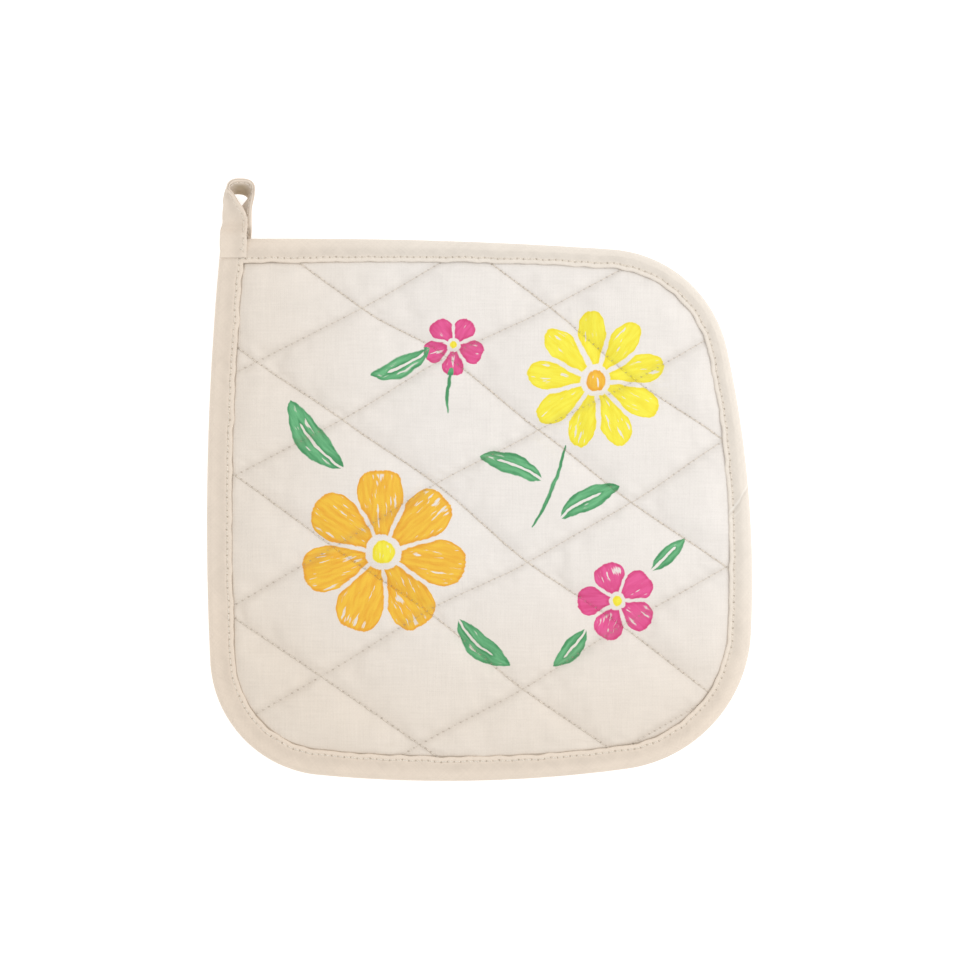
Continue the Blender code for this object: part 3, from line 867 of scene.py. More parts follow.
def loop_section(width):
    """The folded cloth across the loop: hem, right fold, top, left fold, underside, right fold, hem."""
    layer, hem_fold = (inner_layer + outer_layer) / 2, (outer_layer - inner_layer) / 2
    right = width / 2 - LOOP_CLOTH / 2 - hem_fold
    left = -width / 2 + LOOP_CLOTH / 2 + outer_layer
    row = width / 2 - LOOP_STITCH_INSET
    upper = [(right - LOOP_HEM * share, inner_layer) for share in HEM_SHARES]
    upper += [(right + hem_fold * c, layer + hem_fold * s) for c, s in bend(-np.pi / 2, np.pi / 2)]
    for aside, dip in ((LOOP_GROOVE, 0.0), (0.0, LOOP_DIP), (-LOOP_GROOVE, 0.0)):
        upper.append((row + aside, outer_layer - dip))
    for share in TOP_SHARES:
        upper.append((left + (row - left) * share, outer_layer + LOOP_PUFF * math.sin(math.pi * share)))
    upper += [(left + outer_layer * c, outer_layer * s) for c, s in bend(np.pi / 2, np.pi)]
    return np.array(upper + [(u, -v) for u, v in reversed(upper[:-1])])


lines = np.stack([loop_section(width) for width in loop_widths])

# %% The loop's mesh
PRESSED_OVER = (0.0005, 0.0045)      # over this stretch the upper leg comes out of its pressed end
PRESSED_SHARE = 0.30         # which keeps this share of its thickness
LOOP_WAVER = 0.012
LOOP_WAVES = (12, 0.006, 0.020)      # seed, shortest and longest

pressed = 1 - smooth_step(loop_along, *PRESSED_OVER)
rings = with_thickness(lines, LOOP_CLOTH)
rings[..., 0] *= 1 + LOOP_WAVER * ripples(loop_along, *LOOP_WAVES)[:, None]
rings[..., 1] *= 1 - (1 - PRESSED_SHARE) * pressed[:, None]
sunk = (GAP + STRIP_THICK / 2 * (1 - PRESSED_SHARE) - PUFF * 0.6) * pressed
loop_points = centres[:, None] + acrosses[:, None] * rings[..., :1] + facings[:, None] * rings[..., 1:]
loop_points[..., 2] = np.maximum(loop_points[..., 2] - sunk[:, None], 0.0)
loop_ways = strip_ways(rings[0], loop_along, LOOP_STITCH_INDEX)
loop = skin("folded_loop", loop_points, loop_ways, closed=False)

# %% [markdown]
# ## The stitches
#
# Each stitch is a short length of thread that comes up through a hole, lies on the cloth and goes
# down the next hole. A dashed line in the material would be cheaper, but it would cast no shadow and
# look painted from the side. So one stitch is modelled by hand: a thin six-sided rod is cut into
# rings, and its ends are thinned and bent down. It is copied to every place, slightly unevenly, as a
# hand that guides the cloth leaves them. A ray dropped onto the finished cloth finds each hole.

# %% One stitch
THREAD = 0.00022             # half the thread's thickness
STITCH_SHAPE = np.array((    # share of the way, share of the thickness, height
    (0.03, 0.45, -0.00035),
    (0.08, 0.95, -0.00016),
    (0.20, 1.05, 0.00006),
    (0.50, 1.00, 0.00011),
    (0.80, 1.05, 0.00006),
    (0.92, 0.95, -0.00016),
    (0.97, 0.45, -0.00035),
))

bpy.ops.object.select_all(action="DESELECT")
bpy.ops.mesh.primitive_cylinder_add(vertices=6, radius=1.0, depth=1.0, rotation=(0, math.pi / 2, 0))
rod = bpy.context.object
bpy.ops.object.transform_apply(location=False, rotation=True, scale=False)
bpy.ops.object.mode_set(mode="EDIT")
ring_places = (STITCH_SHAPE[:, 0] - STITCH_SHAPE[0, 0]) / np.ptp(STITCH_SHAPE[:, 0]) - 0.5
for place in ring_places[1:-1]:
    bpy.ops.mesh.select_all(action="SELECT")
    bpy.ops.mesh.bisect(plane_co=(place, 0, 0), plane_no=(1, 0, 0))
bpy.ops.object.mode_set(mode="OBJECT")
rod_points = points_of(rod)
rod_faces = [list(face.vertices) for face in rod.data.polygons]
bpy.data.objects.remove(rod)
way, thick, height = (np.interp(rod_points[:, 0], ring_places, found) for found in STITCH_SHAPE.T)
one_stitch = np.column_stack([way, rod_points[:, 1:] * THREAD * thick[:, None]])
one_stitch[:, 2] += height
print("one stitch has", len(rod_faces), "faces")

# %% Help with stitches


def row_of(holes, side):
    """(starts, ends, ups) of the stitches from each hole to the next, on the face (1) or the back (-1)."""
    return holes[:-1], holes[1:], np.tile((0.0, 0.0, side), (len(holes) - 1, 1))


def sewn(name, rows):
    """One piece with a stitch from each start to its end. ups point to the side that it lies on."""
    starts, ends, ups = (np.concatenate(found) for found in zip(*rows))
    along = ends - starts
    aside = np.cross(ups, along)
    aside /= np.linalg.norm(aside, axis=1, keepdims=True)
    frames = (along[:, None], aside[:, None], ups[:, None])
    points = starts[:, None] + sum(one_stitch[:, k, None] * frames[k] for k in range(3))
    points[..., 2] = np.maximum(points[..., 2], 0.0)
    count = len(one_stitch)
    faces = [[corner + count * i for corner in face] for i in range(len(starts)) for face in rod_faces]
    print(len(starts), "stitches in", name)
    return new_piece(name, points, faces)


def tree_of(piece):
    faces = [face.vertices[:] for face in piece.data.polygons]
    return BVHTree.FromPolygons(points_of(piece).tolist(), faces)


def dropped(tree, flat_points, side):
    """The places where rays from above (side 1) or below (side -1) meet the cloth."""
    ray = Vector((0, 0, -side))
    return np.array([tree.ray_cast(Vector((x, y, side * 0.05)), ray)[0] for x, y in flat_points])


# %% Quilting stitches
STITCHES_PER_SPAN = 18
UNDER_BINDING = 0.0012       # the quilting was sewn first, so its seams run on under the binding
UNEVEN = 0.00007             # how far a stitch's hole strays
SUNK_RISING = 0.00022        # the rising seams' thread sinks deeper into the cloth

stray = np.random.default_rng(21)
pad_tree = tree_of(pad)
quilted = []
ticks = np.arange(SPANS[0] * STITCHES_PER_SPAN, SPANS[1] * STITCHES_PER_SPAN + 1) / STITCHES_PER_SPAN
for seams, falls in ((FALLING_SEAMS, True), (RISING_SEAMS, False)):
    for seam in range(len(seams)):
        fixed = np.full_like(ticks, seam)
        line = crossing(fixed, ticks) if falls else crossing(ticks, fixed)
        line += stray.normal(0, UNEVEN, line.shape)
        line = line[distance_inside(line, inner_line) > -UNDER_BINDING]
        if len(line) < 2:
            continue
        for side in (1, -1):
            on_cloth = dropped(pad_tree, line, side)
            on_cloth[:, 2] -= side * (0 if falls else SUNK_RISING)
            quilted.append(row_of(on_cloth, side))
quilting = sewn("quilting_thread", quilted)

# %% Binding stitches
phases = np.arange(binding_stitches + 1)
all_phases = np.append(stitch_phase, binding_stitches)
closed_line = np.append(stitch_line, stitch_line[:1], axis=0)
spots = np.column_stack([np.interp(phases, all_phases, found) for found in closed_line.T])
spots[1:-1] += stray.normal(0, UNEVEN, spots[1:-1].shape)
binding_tree = tree_of(binding)
bound = [row_of(dropped(binding_tree, spots, side), side) for side in (1, -1)]
binding_thread = sewn("binding_thread", bound)

# %% [markdown]
# The loop's strip is sewn closed along its open edge before it is bent, so its stitches show on both
# of its sides. A ray from above would miss most of them, so they are placed along the strip itself.
# One short bar of close stitches holds its end at the corner.

# %% Loop stitches
BAR_X = (-0.0893, -0.0879)   # the bar lies across the strip near its right edge
BAR_Y = 0.0857
BAR_ROWS = (-0.00022, 0.00022)

loop_count = round(loop_along[-1] / STITCH_PITCH)
loop_marks = np.linspace(0, loop_along[-1], loop_count + 1)[1:-1]
row_places = centres + acrosses * (loop_widths / 2 - LOOP_STITCH_INSET)[:, None]
row_places[:, 2] -= sunk
row_height = (outer_layer + LOOP_CLOTH / 2 - LOOP_DIP) * (1 - (1 - PRESSED_SHARE) * pressed)


def at_marks(found):
    return np.column_stack([np.interp(loop_marks, loop_along, some) for some in found.T])


looped = []
for side in (1, -1):
    marks = at_marks(row_places + facings * (side * row_height)[:, None])
    ups = at_marks(facings) * side
    looped.append((marks[:-1], marks[1:], (ups[:-1] + ups[1:]) / 2))
loop_tree = tree_of(loop)
for row in BAR_ROWS:
    looped.append(row_of(dropped(loop_tree, [(x, BAR_Y + row) for x in BAR_X], 1), 1))
loop_thread = sewn("loop_thread", looped)

# %% [markdown]
# ## The cloth
#
# Both cloths are an undyed mix of linen and cotton: an off-white plain weave whose threads are here
# and there thicker, with faint blotches and specks of darker fibre. Threads 0.75 mm apart are too
# fine for the mesh, and a picture of cloth would show where it repeats, so the weave is worked out by
# nodes, and its rise and fall is a bump. So that the recipe can be read, a small helper lets the sums
# be written as plain sums, and each of them becomes one Math node.

# %% A wire between nodes


def plug(tree, socket, value):
    """Joins a wire to a socket, or sets the socket to a plain value."""
    if isinstance(value, Wire):
        tree.links.new(value.socket, socket)
    else:
        socket.default_value = value


def node_of(tree, kind, *values, output=0, **settings):
    """What a new node gives out, with values in its first sockets."""
    node = tree.nodes.new(f"ShaderNode{kind}")
    for name, setting in settings.items():
        setattr(node, name, setting)
    for socket, value in zip(node.inputs, values):
        plug(tree, socket, value)
    return Wire(tree, node.outputs[output])


class Wire:
    """What a node gives out. Sums of wires turn into Math nodes."""

    def __init__(self, tree, socket):
        self.tree = tree
        self.socket = socket

    def math(self, operation, *others):
        return node_of(self.tree, "Math", self, *others, operation=operation)

    def __add__(self, other):
        return self.math("ADD", other)

    def __sub__(self, other):
        return self.math("SUBTRACT", other)

    def __rsub__(self, other):
        return node_of(self.tree, "Math", other, self, operation="SUBTRACT")

    def __mul__(self, other):
        return self.math("MULTIPLY", other)

    def __truediv__(self, other):
        return self.math("DIVIDE", other)

    def __abs__(self):
        return self.math("ABSOLUTE")

    def least(self, other):
        return self.math("MINIMUM", other)

    def most(self, other):
        return self.math("MAXIMUM", other)

    def rise(self, low, high, first=0.0, last=1.0):
        """0 up to low, 1 from high on, and an even S between them."""
        values = (self, low, high, first, last)
        return node_of(self.tree, "MapRange", *values, interpolation_type="SMOOTHSTEP")

    def fall(self, low, high):
        """1 up to low, 0 from high on, and an even S between them."""
        return self.rise(low, high, 1.0, 0.0)


# %% Help with nodes


def joined(tree, x, y, z):
    """One wire from three."""
    return node_of(tree, "CombineXYZ", x, y, z)


def parted(wire):
    """Three wires from one."""
    node = wire.tree.nodes.new("ShaderNodeSeparateXYZ")
    plug(wire.tree, node.inputs[0], wire)
    return [Wire(wire.tree, socket) for socket in node.outputs]


def millimetres(tree, kind, output, **settings):
    """The three ways that a node gives in metres, in millimetres."""
    return [way / MM for way in parted(node_of(tree, kind, output=output, **settings))]


def noise(place, detail=2.0, colour=False):
    """Soft noise over a place, about one blotch for each unit of it. Its middle value is 0.5."""
    node = place.tree.nodes.new("ShaderNodeTexNoise")
    node.inputs["Scale"].default_value = 1.0
    node.inputs["Detail"].default_value = detail
    plug(place.tree, node.inputs["Vector"], place)
    return Wire(place.tree, node.outputs[1 if colour else 0])


def blotches(x, y, share, seed, detail=2.0, colour=False):
    """Noise with this share of a blotch for each millimetre. Each seed gives another pattern."""
    return noise(joined(x.tree, x * share, y * share, seed), detail, colour)


def chosen(share, first, second):
    """The first colour or place where share is 0, the second where it is 1, and a mix between."""
    node = share.tree.nodes.new("ShaderNodeMix")
    node.data_type = "VECTOR"
    for index, value in ((0, share), (4, first), (5, second)):
        plug(share.tree, node.inputs[index], value)
    return Wire(share.tree, node.outputs[1])


def times(colour, tone):
    """A colour made lighter or darker by a tone. At least one of them is a wire."""
    tree = (tone if isinstance(tone, Wire) else colour).tree
    node = tree.nodes.new("ShaderNodeVectorMath")
    node.operation = "SCALE"
    plug(tree, node.inputs[0], colour)
    plug(tree, node.inputs["Scale"], tone)
    return Wire(tree, node.outputs[0])


def away_by(dx, dy):
    """The length of a step by dx and dy."""
    return (dx * dx + dy * dy).math("SQRT")


def off_whole(count):
    """How far a count is from the nearest whole number."""
    return abs(count - count.math("ROUND"))


def new_material(name):
    made = bpy.data.materials.new(name)
    made.use_nodes = True
    return made, made.node_tree


# %% The weave
THREAD_MM = 0.75
BEND_MM = 1.6                # how far the threads stray from straight lines
SLUB_LONG, SLUB_WIDE = 0.09, 1.45    # thick places for each millimetre along and across a thread


def weave(along, across):
    """(height, tone) of a plain weave. The two ways are in millimetres."""
    tree = along.tree
    bent = parted(blotches(along, across, 0.07, 1.0, detail=3.0, colour=True))
    u, v = along + (bent[0] - 0.5) * BEND_MM, across + (bent[1] - 0.5) * BEND_MM
    over_under = (u * (math.pi / THREAD_MM)).math("SINE") * (v * (math.pi / THREAD_MM)).math("SINE")
    thick = noise(joined(tree, u * SLUB_LONG, v * SLUB_WIDE, 3.0), 3.0) - 0.5
    thick = thick + (noise(joined(tree, u * SLUB_WIDE, v * SLUB_LONG, 9.0), 3.0) - 0.5)
    fibres = blotches(u, v, 2.6, 7.0)
    height = abs(over_under).math("POWER", 0.6) * 0.38 + thick * 1.3 + fibres * 0.45
    tone = thick * 0.10 + over_under * 0.008 + (blotches(u, v, 0.10, 5.0, detail=3.0) - 0.5) * 0.10
    return height, tone + 1.0 - fibres.rise(0.66, 0.78) * 0.09


# %% The cloth's finish
BUMP_HEIGHT = 0.00010
BUMP_STRENGTH = 0.75
SPECULAR = 0.22
SHEEN, SHEEN_ROUGHNESS = 0.12, 0.45


def cloth_finish(tree, colour, height, roughness):
    """The finish that both cloths share: a matt shader with the sheen of fine fibres."""
    shader = tree.nodes["Principled BSDF"]
    bump = tree.nodes.new("ShaderNodeBump")
    bump.inputs["Distance"].default_value = BUMP_HEIGHT
    bump.inputs["Strength"].default_value = BUMP_STRENGTH
    plug(tree, bump.inputs["Height"], height)
    tree.links.new(bump.outputs[0], shader.inputs["Normal"])
    plug(tree, shader.inputs["Base Color"], colour)
    plug(tree, shader.inputs["Roughness"], roughness)
    shader.inputs["Specular IOR Level"].default_value = SPECULAR
    shader.inputs["Sheen Weight"].default_value = SHEEN
    shader.inputs["Sheen Roughness"].default_value = SHEEN_ROUGHNESS


def shade_towards_lower_left(x, y):
    """0 to about 1: how much painted shade the cloth gets, darker and warmer towards the left and the
    bottom.
    """
    left, bottom = x.fall(-100.0, -10.0), y.fall(-100.0, -15.0)
    return left * 0.78 + bottom * 0.84 - left * bottom * 0.40


# %% [markdown]
# ## The print
#
# The face carries a bright print in the manner of brush strokes: blossoms and leaves in pink, lemon
# yellow, gold and green. It could be painted as a picture and laid on, but shapes worked out by nodes
# stay sharp at any distance and need no file. Each motif is a shape whose depth, the distance in from
# its edge, is worked out from where a point lies. The depth gives the painted edge, where the colour
# gathers and darkens, and the strokes run along each petal or leaf and leave slivers of bare cloth
# between them. The outlines waver a little, as a brush does. All sizes here are in millimetres.

# %% Motifs
PINK = ((0.74, 0.085, 0.29), (0.60, 0.035, 0.18))
LEMON = ((0.86, 0.79, 0.050), (0.80, 0.66, 0.010))
GOLD = ((0.83, 0.50, 0.030), (0.74, 0.33, 0.010))
GREEN = ((0.13, 0.44, 0.20), (0.035, 0.25, 0.09))

PETALS = (
    dict(x=-36, y=-27, radius=31, petals=7, turn=0.10, roundness=3.2, gap=1.0, start=6.5, ink=GOLD),
    dict(x=43, y=37, radius=26, petals=9, turn=0.35, roundness=2.2, gap=1.3, start=5.5, ink=LEMON),
    dict(x=51, y=-45, radius=15, petals=5, turn=0.20, roundness=3.0, gap=0.8, start=3.0, ink=PINK),
    dict(x=-10, y=50, radius=11.5, petals=5, turn=0.55, roundness=3.0, gap=0.7, start=2.4, ink=PINK),
)
HEARTS = (
    dict(x=-36, y=-27, radius=4.6, ink=LEMON),
    dict(x=43, y=37, radius=3.9, ink=GOLD),
    dict(x=51, y=-45, radius=2.0, ink=LEMON),
    dict(x=-10, y=50, radius=1.6, ink=LEMON),
)
LEAVES = (
    dict(x=-63, y=15, angle=128, length=32, width=11.5, bend=0.012, ink=GREEN),
    dict(x=0, y=-62, angle=-42, length=26, width=9.5, bend=-0.012, ink=GREEN),
    dict(x=27, y=-3, angle=248, length=33, width=1.9, bend=0.006, ink=GREEN),
    dict(x=40, y=-7, angle=28, length=25, width=8.5, bend=0.010, ink=GREEN),
    dict(x=12, y=6, angle=160, length=25, width=8.5, bend=-0.010, ink=GREEN),
    dict(x=34, y=-63, angle=228, length=19, width=7.5, bend=0.010, ink=GREEN),
    dict(x=70, y=-28, angle=42, length=17, width=6.5, bend=0.0, ink=GREEN),
    dict(x=-29, y=42, angle=205, length=24, width=8.0, bend=0.014, ink=GREEN),
    dict(x=-12, y=33, angle=265, length=17, width=1.6, bend=-0.010, ink=GREEN),
)
print(len(PETALS), "blossoms and", len(LEAVES), "leaves and stems")

# %% Shapes of the motifs
TIP_ROUND = 0.42             # share of the radius by which a petal's corners are rounded off
STEM_MM = 3.0                # what is no wider than this is a stem, and has no vein
VEIN_SLOPE = 1.6


def petal_shape(x, y, blossom):
    """(depth, across the stroke, along the stroke) of a blossom's petals."""
    dx, dy = x - blossom["x"], y - blossom["y"]
    away = away_by(dx, dy)
    turns = dy.math("ARCTAN2", dx) / (2 * math.pi) + 1.0 + blossom["turn"]
    petal = (turns * blossom["petals"]).math("FRACT") - 0.5
    number = (turns * blossom["petals"]).math("FLOOR")
    full = 2 * math.pi / blossom["petals"]
    side_depth = (0.5 - abs(petal)) * away * full - blossom["gap"] / 2
    tip = (abs(petal) * 2.0).math("POWER", blossom["roundness"]) * (TIP_ROUND * blossom["radius"])
    depth = (blossom["radius"] - tip - away).least(side_depth).least(away - blossom["start"])
    return depth, petal * away * full + number * 37.0, away


def heart_shape(x, y, heart):
    dx, dy = x - heart["x"], y - heart["y"]
    return heart["radius"] - away_by(dx, dy), dx, dy


def leaf_shape(x, y, leaf):
    """(depth, across the stroke, along the stroke) of a leaf or a stem, bent a little to one side."""
    angle = math.radians(leaf["angle"])
    is_leaf = leaf["width"] > STEM_MM
    dx, dy = x - leaf["x"], y - leaf["y"]
    along = dx * math.cos(angle) + dy * math.sin(angle)
    across = dy * math.cos(angle) - dx * math.sin(angle) + along * along * leaf["bend"]
    half = leaf["length"] / 2
    share = (along / half).math("POWER", 2.0).least(1.0)
    fullness = (1.0 - share).math("POWER", 0.75 if is_leaf else 0.25)
    outside = (abs(along) - half).most(0.0)
    depth = fullness * (leaf["width"] / 2) - abs(across) - outside
    if is_leaf:
        vein = abs(across) + (along / half).rise(0.35, 0.75) * 2.0 - 0.30
        depth = depth.least(vein * VEIN_SLOPE)
    return depth, across + leaf["angle"], along


# %% The print's recipe
WAVER_MM = 2.4
STROKE_MM = (1.25, 8.0)      # a stroke's width and length
INK_OVER = 0.4               # a motif's strokes reach this far past its edge
EDGE_MM = (0.5, 1.8)         # the ink is darkest up to the first depth, and plain from the second


def shifted(place):
    """The same place elsewhere in the noise, so that a second noise differs from the first."""
    return node_of(place.tree, "VectorMath", place, (31.0, 17.0, 5.0), operation="ADD")


def printed(x, y, cloth_colour):
    """(colour, share of ink) of the cloth with the print on it."""
    waver = parted(blotches(x, y, 0.13, 2.0, detail=4.0, colour=True))
    x, y = x + (waver[0] - 0.5) * WAVER_MM, y + (waver[1] - 0.5) * WAVER_MM
    depth, strokes, light, dark = -9.0, (0.0, 0.0, 0.0), (0.0, 0.0, 0.0), (0.0, 0.0, 0.0)
    for shape, motifs in ((petal_shape, PETALS), (heart_shape, HEARTS), (leaf_shape, LEAVES)):
        for motif in motifs:
            own_depth, across, along = shape(x, y, motif)
            own = joined(x.tree, across / STROKE_MM[0], along / STROKE_MM[1], motif["x"] * 1.7)
            here = own_depth.math("GREATER_THAN", -INK_OVER)
            depth = own_depth.most(depth)
            strokes = chosen(here, strokes, own)
            light, dark = chosen(here, light, motif["ink"][0]), chosen(here, dark, motif["ink"][1])
    brush, second = noise(strokes, 2.5), noise(shifted(strokes), 2.0)
    covered = (depth + (brush - 0.5) * 1.1).rise(0.0, 0.45)
    bare = (1.0 - brush).rise(0.60, 0.66) * depth.rise(1.3, 2.2)
    inked = covered * (1.0 - bare * 0.93)
    darker = (depth.fall(*EDGE_MM) * 0.55 + (second - 0.5) * 2.2 + 0.30).most(0.0).least(1.0)
    return chosen(inked * 0.96, cloth_colour, chosen(darker, light, dark)), inked


# %% [markdown]
# The needle's holes are painted with shade, as small dark spots along the seams, and the cloth gets
# painted shade, a little darker and tanner, in the seams' valleys and in the crease beside the binding.
# All of this could be painted by hand. Here the face reads the seam numbers that the mesh carries, so each
# mark follows its own seam: near a whole number there is a seam, and the other number counts the stitches
# along it. The third number is the distance from the binding.

# %% Holes, with painted shade
HOLE_MM = (0.12, 0.54)       # a hole's painted shade is darkest up to the first distance, and ends at the second


def hole(off, beside):
    return away_by(off, beside).fall(*HOLE_MM)


# %% The printed cloth
CLOTH = (0.764, 0.727, 0.692)
# painted shade: the cloth's colour towards the lower left
SHADED_CLOTH = (0.722, 0.646, 0.563)
# painted shade in the seams' holes and valleys
SEAM_SHADE_TAN = (0.560, 0.455, 0.345)
# painted shade in the crease beside the binding
CREASE_SHADE_TAN = (0.44, 0.36, 0.275)
CREASE_MM = 0.42             # width of the painted crease shade beside the binding
VALLEY_MM = (1.5, 3.0)       # width of the painted shade in the valleys of the falling and the rising seams
VALLEY_SHADE = (0.36, 0.52)
SEAM_SPAN_MM = SEAM_SPAN / MM
SKEW = 1.17                  # the seams cross at a slant, so a span along one is longer

printed_cloth, tree = new_material("printed_cloth")
x, y, _ = millimetres(tree, "TexCoord", "Object")
height, tone = weave(x, y)
# painted shade, darker and warmer towards the left and the bottom
lower_left_shade = shade_towards_lower_left(x, y)
ground = times(chosen(lower_left_shade, CLOTH, SHADED_CLOTH), tone)

labels = node_of(tree, "Attribute", output="Vector", attribute_name="seam_numbers")
falling_number, rising_number, inwards_mm = parted(labels)
falling_off, rising_off = (off_whole(found) * SEAM_SPAN_MM for found in (falling_number, rising_number))
# painted shade in the seams' valleys, where the cloth dips between the diamonds
falling_valley_shade = falling_off.fall(0.0, VALLEY_MM[0]) * VALLEY_SHADE[0]
rising_valley_shade = rising_off.fall(0.0, VALLEY_MM[1]) * VALLEY_SHADE[1]
valley_shade = falling_valley_shade.most(rising_valley_shade) * (blotches(x, y, 0.25, 11.0) * 1.2 + 0.4)

step_mm = SEAM_SPAN_MM * SKEW / STITCHES_PER_SPAN
falling_beside, rising_beside = (
    off_whole(found * float(STITCHES_PER_SPAN)) * step_mm for found in (rising_number, falling_number)
)
# painted shade in the needle's holes
shaded_holes = hole(falling_off, falling_beside).most(hole(rising_off, rising_beside) * 0.75)
shaded_holes = shaded_holes * (blotches(x, y, 0.45, 23.0, detail=1.0).rise(0.25, 0.70) * 0.6 + 0.45)

# %% Colours of the printed cloth
on_face_wire = node_of(tree, "Attribute", output="Fac", attribute_name="face_side").rise(0.45, 0.55)
painted, inked = printed(x, y, ground)
# the painted valley shade darkens the cloth
colour = times(chosen(on_face_wire, ground, painted), 1.0 - valley_shade * 0.12)
# painted shade in the holes and the valleys, tinted tan
colour = chosen(shaded_holes * 0.50 + valley_shade * 0.12, colour, SEAM_SHADE_TAN)
# painted shade in the crease beside the binding, stronger towards the lower left
crease_shade = inwards_mm.fall(CREASE_MM * 0.4, CREASE_MM)
colour = chosen(crease_shade * (lower_left_shade * 0.42 + 0.08), colour, CREASE_SHADE_TAN)
# more painted shade in the holes and in the crease beside the binding
colour = times(colour, 1.0 - shaded_holes * 0.25 - crease_shade * 0.05)
cloth_finish(tree, colour, height - shaded_holes * 2.6, height * 0.10 + 0.80 - inked * 0.06)
pad.data.materials.append(printed_cloth)
print(len(tree.nodes), "nodes in the printed cloth")

# %% [markdown]
# The binding and the loop are the same cloth cut on the bias, so that it bends round the corners: its
# threads run at 45 degrees to the strip. A pattern on the object's own ways would run straight across the
# corners, so theirs follows the strip's UV map, which is in metres, with 0 across at the row of stitches.
# That also puts the needle's holes in their places, with painted shade in them, a band of painted shade
# beside them, painted highlight on the join's crests and painted shade in its groove.

# %% Marks on the strips
SHADE_BAND_MM = (-0.2, 1.3, 1.6, 5.6)      # the band of painted shade comes over the first two and goes over the last
BACK_MM = (9.0, 9.5)         # the strip's back starts here
CREST_MM = 0.9               # half the width of the painted highlight on the join's crests
JOIN_GROOVE_MM = (1.3, 1.2)  # the groove's place after the first ridge, and half its width
# painted shade inside the loop's turn
TURN_SHADE_PLACE = (-88.7, 107.2)
TURN_SHADE_MM = (1.4, 4.4)       # the painted shade is strongest up to the first distance, and ends at the second


def join_marks(along, across, join):
    """(painted highlight on the crests, painted shade in the groove) of the join, which is at a place
    along and across the strip.
    """
    away = along - join[0] + (across - join[1]) * JOIN_SLOPE
    on_face = across.fall(*BACK_MM)
    second = abs(away - RIDGES[1][0] / MM).fall(0.0, CREST_MM) * across.fall(1.0, 4.5) * 0.5
    groove = abs(away - JOIN_GROOVE_MM[0]).fall(0.0, JOIN_GROOVE_MM[1])
    return abs(away).fall(0.0, CREST_MM).most(second) * on_face, groove * on_face


def inside_turn_shade(x, y, across, back_row):
    """Share of painted shade on the loop's inner side, inside its turn."""
    turn_shade = away_by(x - TURN_SHADE_PLACE[0], y - TURN_SHADE_PLACE[1]).fall(*TURN_SHADE_MM)
    turn_shade = turn_shade * across.rise(back_row / 2 - 1.0, back_row / 2 + 1.5)
    return turn_shade * (1.0 - across.rise(back_row - 2.2, back_row - 0.4) * 0.85)


# %% The binding's cloth
STRIP = (0.752, 0.690, 0.618)
# painted shade: the strip's colour towards the lower left
SHADED_STRIP = (0.741, 0.638, 0.535)
# painted shade in the strip's needle holes
HOLE_SHADE_TAN = (0.520, 0.420, 0.310)
# painted highlight on the join's crests
CREST_HIGHLIGHT = (0.86, 0.83, 0.78)
# painted shade inside the loop's turn
TURN_SHADE_TAN = (0.42, 0.335, 0.22)
BIAS = math.sqrt(0.5)


def strip_material(name, back_row, pitch, dark, join=None, shade_inside_turn=False):
    """The bias cloth, with holes at 0 across and at back_row, a pitch apart, all in millimetres.

    dark is how strongly the painted shade in the holes shows. join is the place of a join along and across
    the strip.
    """
    made, tree = new_material(name)
    along, across, _ = millimetres(tree, "UVMap", 0, uv_map="strip")
    x, y, _ = millimetres(tree, "TexCoord", "Object")
    height, tone = weave((along + across) * BIAS, (along - across) * BIAS)
    # uneven patches that vary the painted shade beside the stitches and inside the loop's turn
    patchy = blotches(along, across, 0.11, 3.0)
    beside = off_whole(along / pitch) * pitch
    offs = (across, back_row - across)
    # painted shade in the needle's holes
    shaded_holes = hole(offs[0], beside).most(hole(offs[1], beside))
    shade_band, back_shade_band = (off.rise(*SHADE_BAND_MM[:2]) * off.fall(*SHADE_BAND_MM[2:]) for off in offs)
    unevenness = noise(joined(tree, along * 0.45, 5.0, 7.0), 1.0).rise(0.25, 0.70)
    shaded_holes = shaded_holes * (unevenness * 0.7 + 0.4)
    # painted shade, darker and warmer towards the left and the bottom
    ground = times(chosen(shade_towards_lower_left(x, y), STRIP, SHADED_STRIP), tone)
    # painted shade in a band beside each row of stitches
    colour = chosen(shade_band.most(back_shade_band) * (patchy * 0.80 + 0.30), ground, times(ground, 0.86))
    colour = times(chosen(shaded_holes * (0.60 * dark), colour, HOLE_SHADE_TAN), 1.0 - shaded_holes * (0.24 * dark))
    if join:
        crest_highlight, groove = join_marks(along, across, join)
        # painted highlight on the join's crests, painted shade in its groove
        colour = chosen(crest_highlight * 0.45, times(colour, 1.0 - groove * 0.09), CREST_HIGHLIGHT)
    if shade_inside_turn:
        # painted shade inside the loop's turn
        colour = chosen(inside_turn_shade(x, y, across, back_row) * (patchy * 0.5 + 0.55), colour, TURN_SHADE_TAN)
    cloth_finish(tree, colour, height - shaded_holes * 2.4, height * 0.10 + 0.80)
    print(len(tree.nodes), "nodes in", name)
    return made


pitch_mm = STITCH_PITCH / MM
back_row = float(binding_ways[0, len(section) - 1 - on_stitches, 1]) / MM
join_place = (along_strip[join_station] / MM, (edge_widths[join_station] / 2 - STITCH_INSET) / MM)
binding.data.materials.append(strip_material("binding_cloth", back_row, pitch_mm, 1.0, join=join_place))
pitch_mm = loop_along[-1] / loop_count / MM
back_row = float(loop_ways[0, len(lines[0]) - 1 - LOOP_STITCH_INDEX, 1]) / MM
loop.data.materials.append(strip_material("loop_cloth", back_row, pitch_mm, 0.4, shade_inside_turn=True))

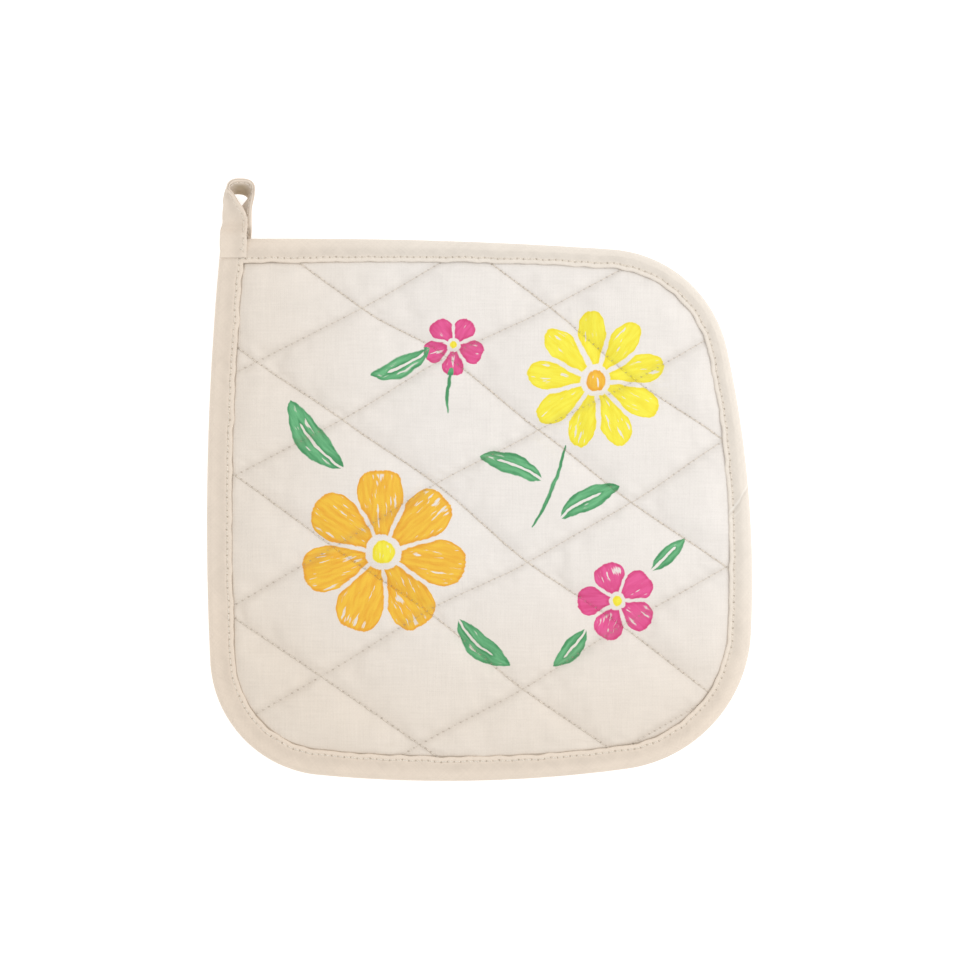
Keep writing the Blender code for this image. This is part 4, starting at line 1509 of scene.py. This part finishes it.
# %% [markdown]
# The thread is two plies of cotton twisted together. Plies could be modelled, but at this size their
# twist is only a fine slanting ripple, so it is a bump, and the colour is that of the cloth, a little
# tanner. The print was made after the quilting, so its ink also lies on the quilting thread, on the
# face alone.

# %% The thread
THREAD_TAN = (0.71, 0.64, 0.555)
PALE_THREAD = (0.77, 0.70, 0.61)
TWIST = 620.0                # ripples for each metre
TWIST_WANDERS = 1.5
FACE_MM = (3.0, 3.4)         # the ink lies on what is higher than this


def thread_material(name, colour, has_print):
    made, tree = new_material(name)
    twist = tree.nodes.new("ShaderNodeTexWave")
    twist.wave_type = "BANDS"
    twist.bands_direction = "DIAGONAL"
    twist.inputs["Scale"].default_value = TWIST
    twist.inputs["Distortion"].default_value = TWIST_WANDERS
    plug(tree, twist.inputs["Vector"], node_of(tree, "TexCoord", output="Object"))
    ply = Wire(tree, twist.outputs["Fac"])
    x, y, z = millimetres(tree, "TexCoord", "Object")
    shade = noise(joined(tree, x * 0.26, y * 0.26, z * 0.26), 2.0)
    if has_print:
        colour = chosen(z.rise(*FACE_MM), colour, printed(x, y, colour)[0])
    cloth_finish(tree, times(colour, ply * 0.16 + shade * 0.24 + 0.78), ply * 1.2, shade * 0.2 + 0.62)
    return made


quilting.data.materials.append(thread_material("quilting_thread", THREAD_TAN, True))
binding_thread.data.materials.append(thread_material("binding_thread", PALE_THREAD, False))
loop_thread.data.materials.append(binding_thread.data.materials[0])
print(len(quilting.data.materials[0].node_tree.nodes), "nodes in the quilting thread")

# %% [markdown]
# ## Pieces and bodies
#
# The imported model has one body, because nothing on a pot holder turns or slides, so every piece rides on
# it. The three soft solids could be left showing, but the finer meshes stand for them, and they stay for
# collisions.

# %% Pieces and bodies
for piece in (pad, binding, loop, quilting, binding_thread, loop_thread):
    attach(piece, "root")
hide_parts("quilted_square")
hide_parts("edge_binding")
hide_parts("hanging_loop")
